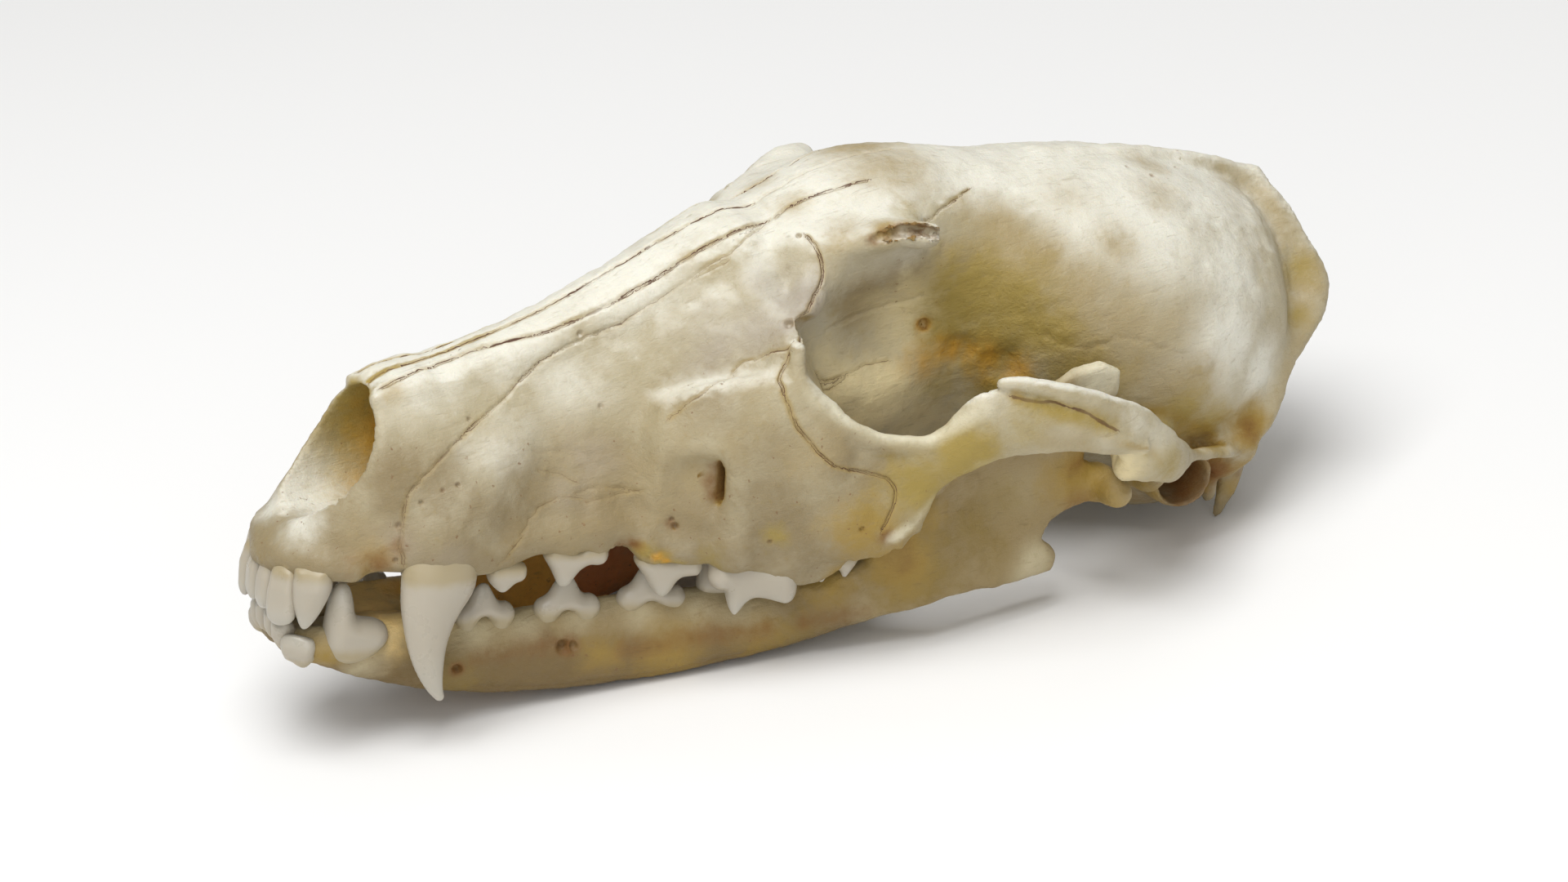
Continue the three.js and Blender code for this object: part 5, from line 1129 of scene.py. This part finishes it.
headMarks = {
    "seams": [
        [wide, deep, dark, settledLine(headWhole, np.array(rows) * (sign, 1, 1), wiggle)]
        for seams, signs in ((headSeams, (1, -1)), (middleSeams, (1,)))
        for wide, deep, dark, wiggle, rows in seams for sign in signs],
    "pits": headPits + [[-x, *rest] for x, *rest in headPits], "breaks": headBreaks,
    "spots": headSpots, "mirrored": True, "inward": noseSpots, "inside": {}, "nearSide": headNearSpots,
    "paintedLowShade": [22, 18, 0.8],  # painted shade: below this height, over this span, this strong
    "paintedTopLight": [0.85, 20, 30],  # painted light on faces that look up: this strong, from none at the first height to all at the second
    "triangles": 190000,
}
cranium = boneObject("cranium_bone", headWhole, 1, headMarks)
finished(cranium, "cranium", boneSurface)

jawLine = [[12.2, 30, -21], [13.6, 44, -21.4], [17, 60, -20], [21.6, 74, -17]]
jawMarks = {
    "seams": [[0.3, 0.2, 0.1, settledLine(jawLeft, jawLine, 0.2)]],
    # pits on the jaw: x, y, z, radius, depth, darkness, the darkness painted shade in the hole
    "pits": [[14.5, 43.7, -13.9, 1.0, 1.4, 0.9], [12.2, 26.7, -16.4, 0.7, 1, 0.9], [15.2, 45.2, -13.8, 0.8, 1, 0.8]],
    # the jaw too gets painted shade low down and painted light on faces that look up
    "breaks": [], "mirrored": False, "inward": {}, "nearSide": {}, "paintedLowShade": [-10, 6, 0.9],
    "paintedTopLight": [0.6, -40, -30], "triangles": 90000,
    # painted light: bright gold, ochre and rust on the jaw's inner side, seen in shade between the teeth
    "inside": {"gold": [[8, 34, -11, 10, 1], [8.6, 49, -11, 7, 1.2]], "ochre": [[16, 80, -12, 14, 0.8]],
               "rust": [[11, 63, -13, 8, 1], [12, 70, -12, 8, 0.8]]},
    "spots": {
        # the last two pale spots are painted light on the coronoid's tip, which lies in the arch's shade
        "pale": [
            [11.5, 30, -10.4, 3, 0.7], [12.6, 38, -10.2, 3, 0.7], [14, 47, -10, 3, 0.7], [16, 56, -9.8, 3, 0.7],
            [18.5, 65, -9.2, 3, 0.6], [21, 71, -9.4, 3, 0.5], [10, 12, -15, 3.4, 0.6], [30.7, 113.7, 10, 5, 0.5],
            [31.7, 118, -2.6, 4, 0.8], [36, 130, 10, 4, 0.5], [31, 128, 29, 5, 1], [29, 118, 27, 4, 0.7]],
        "tan": [
            [15.4, 50.7, -18.4, 9, 0.9], [13, 39.2, -19.9, 9, 0.9], [24.9, 83, -10.5, 8, 0.9], [20, 68, -17, 8, 0.8],
            [29, 98, 2, 9, 0.7]],
        # painted light: ivory on the coronoid's tip
        "ivory": [[31.5, 127, 30, 5, 1]],
        "olive": [
            [32, 112, 9, 5, 0.7], [30.9, 97.9, -0.3, 8, 0.8], [31.3, 106, 4.6, 6, 0.6], [29.8, 94.5, -4.5, 5, 0.6],
            [13, 27, -19, 5, 0.6], [24, 80, -13, 5, 0.6], [31, 112, 0, 4, 0.5]],
        # painted light: bright straw in the shaded gap between the lower canine and the premolars
        "straw": [[5.5, 16.5, -8.6, 5, 1], [5.2, 22.5, -9.2, 5, 1], [2.5, 18, -9.6, 5, 1]],
        "ochre": [
            [24.5, 84.1, -3.8, 5, 0.7], [18.4, 61, -16, 6, 0.7], [22, 74, -13.6, 6, 0.5], [15.6, 50, -16, 5, 0.5],
            [30.8, 97.3, 8, 3.6, 0.7], [8, 6, -12, 2.6, 0.9], [31.4, 125.6, 12.4, 6, 1], [34.4, 128.4, 8, 5, 0.9],
            [36, 131, 7.5, 4, 0.7], [29.4, 94.2, 1, 5, 1.2]],
        "brown": [
            *longPatch([12, 30, -14.6], [14, 43, -13.4], 2, 0.42),
            *longPatch([13, 33, -13], [14, 40, -12.4], 1.2, 0.35),
            *longPatch([16.4, 54, -14.8], [22.5, 75, -12], 2.2, 0.45),
            *longPatch([18, 60, -13], [21, 69, -12], 1.6, 0.4), *longPatch([24, 81, -11], [27, 90, -8.6], 1.8, 0.45),
            [14.7, 44.3, -13.9, 1.8, 0.8], [12.2, 26.7, -16.4, 1.2, 0.8], [32, 126, 7, 3, 0.5],
            [30.6, 124.6, 14.2, 2.6, 0.6], [29.4, 94.2, 1, 4, 0.3]],
    },
}
for side, sign in (("left", 1), ("right", -1)):
    jaw = boneObject("mandible_" + side + "_bone", jawLeft, sign, jawMarks)
    finished(jaw, "mandible_" + side, jawSurfacePaintedShadeAndLight)

total = 0
for jawName, rows in (("upper", upperTeeth), ("lower", lowerTeeth)):
    for row in rows:
        own, triangles, quads = row[1].surface()
        points = seat(own, row, jawName == "upper")
        height = np.clip(own[:, 2] / own[:, 2].max(), 0, 1)
        for side, sign in (("left", 1), ("right", -1)):
            node = "_".join((jawName, row[0], side))
            tooth = makeObject(node + "_tooth", points * (sign, 1, 1), triangles, quads,
                               flip=(sign < 0) != (jawName == "upper"))
            setAttribute(tooth, "height", height)
            setAttribute(tooth, "gum", own[:, 2])
            finished(tooth, node, enamelSurface)
            total += len(quads)
print("teeth:", total, "quads")

# studio: floor, lights, camera at the photograph's angle
floorLook = {"colour": (0.88, 0.88, 0.875), "roughness": 0.9, "size": 6, "height": -0.0002}
bpy.ops.object.select_all(action="DESELECT")
bpy.ops.mesh.primitive_plane_add(size=floorLook["size"], location=(0, 0, floorLook["height"]))
floor = bpy.context.object
floor.name = "studio_floor"
paper = Surface("studio paper")
paper.feed(paper.shader, {"Base Color": floorLook["colour"], "Roughness": floorLook["roughness"]})
floor.data.materials.append(paper.material)

world = bpy.data.worlds.new("studio")
world.use_nodes = True
background = world.node_tree.nodes["Background"]
background.inputs["Color"].default_value = (1.0, 0.99, 0.97, 1)
background.inputs["Strength"].default_value = 0.3
bpy.context.scene.world = world
bpy.context.scene.view_settings.view_transform = "Standard"
lampTarget = Vector((0, 0, 0.04))
lamps = [  # place, watts, size
    ["key", (0.25, -0.32, 1.12), 12.6, 0.8],
    ["fill", (1.0, -0.5, 0.55), 3.8, 1.0],
    ["rim", (-0.5, 0.5, 0.9), 1.0, 0.6],
]
for name, place, watts, size in lamps:
    light = bpy.data.lights.new(name, "AREA")
    light.energy = watts
    light.size = size
    lamp = bpy.data.objects.new(name, light)
    lamp.location = place
    lamp.rotation_euler = (lampTarget - Vector(place)).to_track_quat("-Z", "Y").to_euler()
    bpy.context.collection.objects.link(lamp)

# place and axes of the camera in the skull's own frame, fitted to the photograph
shot = {
    "place": (569.389, -245.159, 251.416), "right": (0.47984442, 0.87391364, 0.07761623),
    "up": (-0.33679048, 0.10178747, 0.93606169), "back": (0.81013672, -0.47530439, 0.34316794),
    "lens": 99.75, "sensor": 36, "nearest": 0.01,
}
lens = bpy.data.cameras.new("camera")
lens.lens = shot["lens"]
lens.sensor_width = shot["sensor"]
lens.clip_start = shot["nearest"]
camera = bpy.data.objects.new("camera", lens)
bpy.context.collection.objects.link(camera)
axes = turnBack(np.array([shot["right"], shot["up"], shot["back"]]))
place = onTable([shot["place"]])[0]
camera.matrix_world = Matrix([[*axes[:, i], place[i]] for i in range(3)] + [[0, 0, 0, 1]])
bpy.context.scene.camera = camera
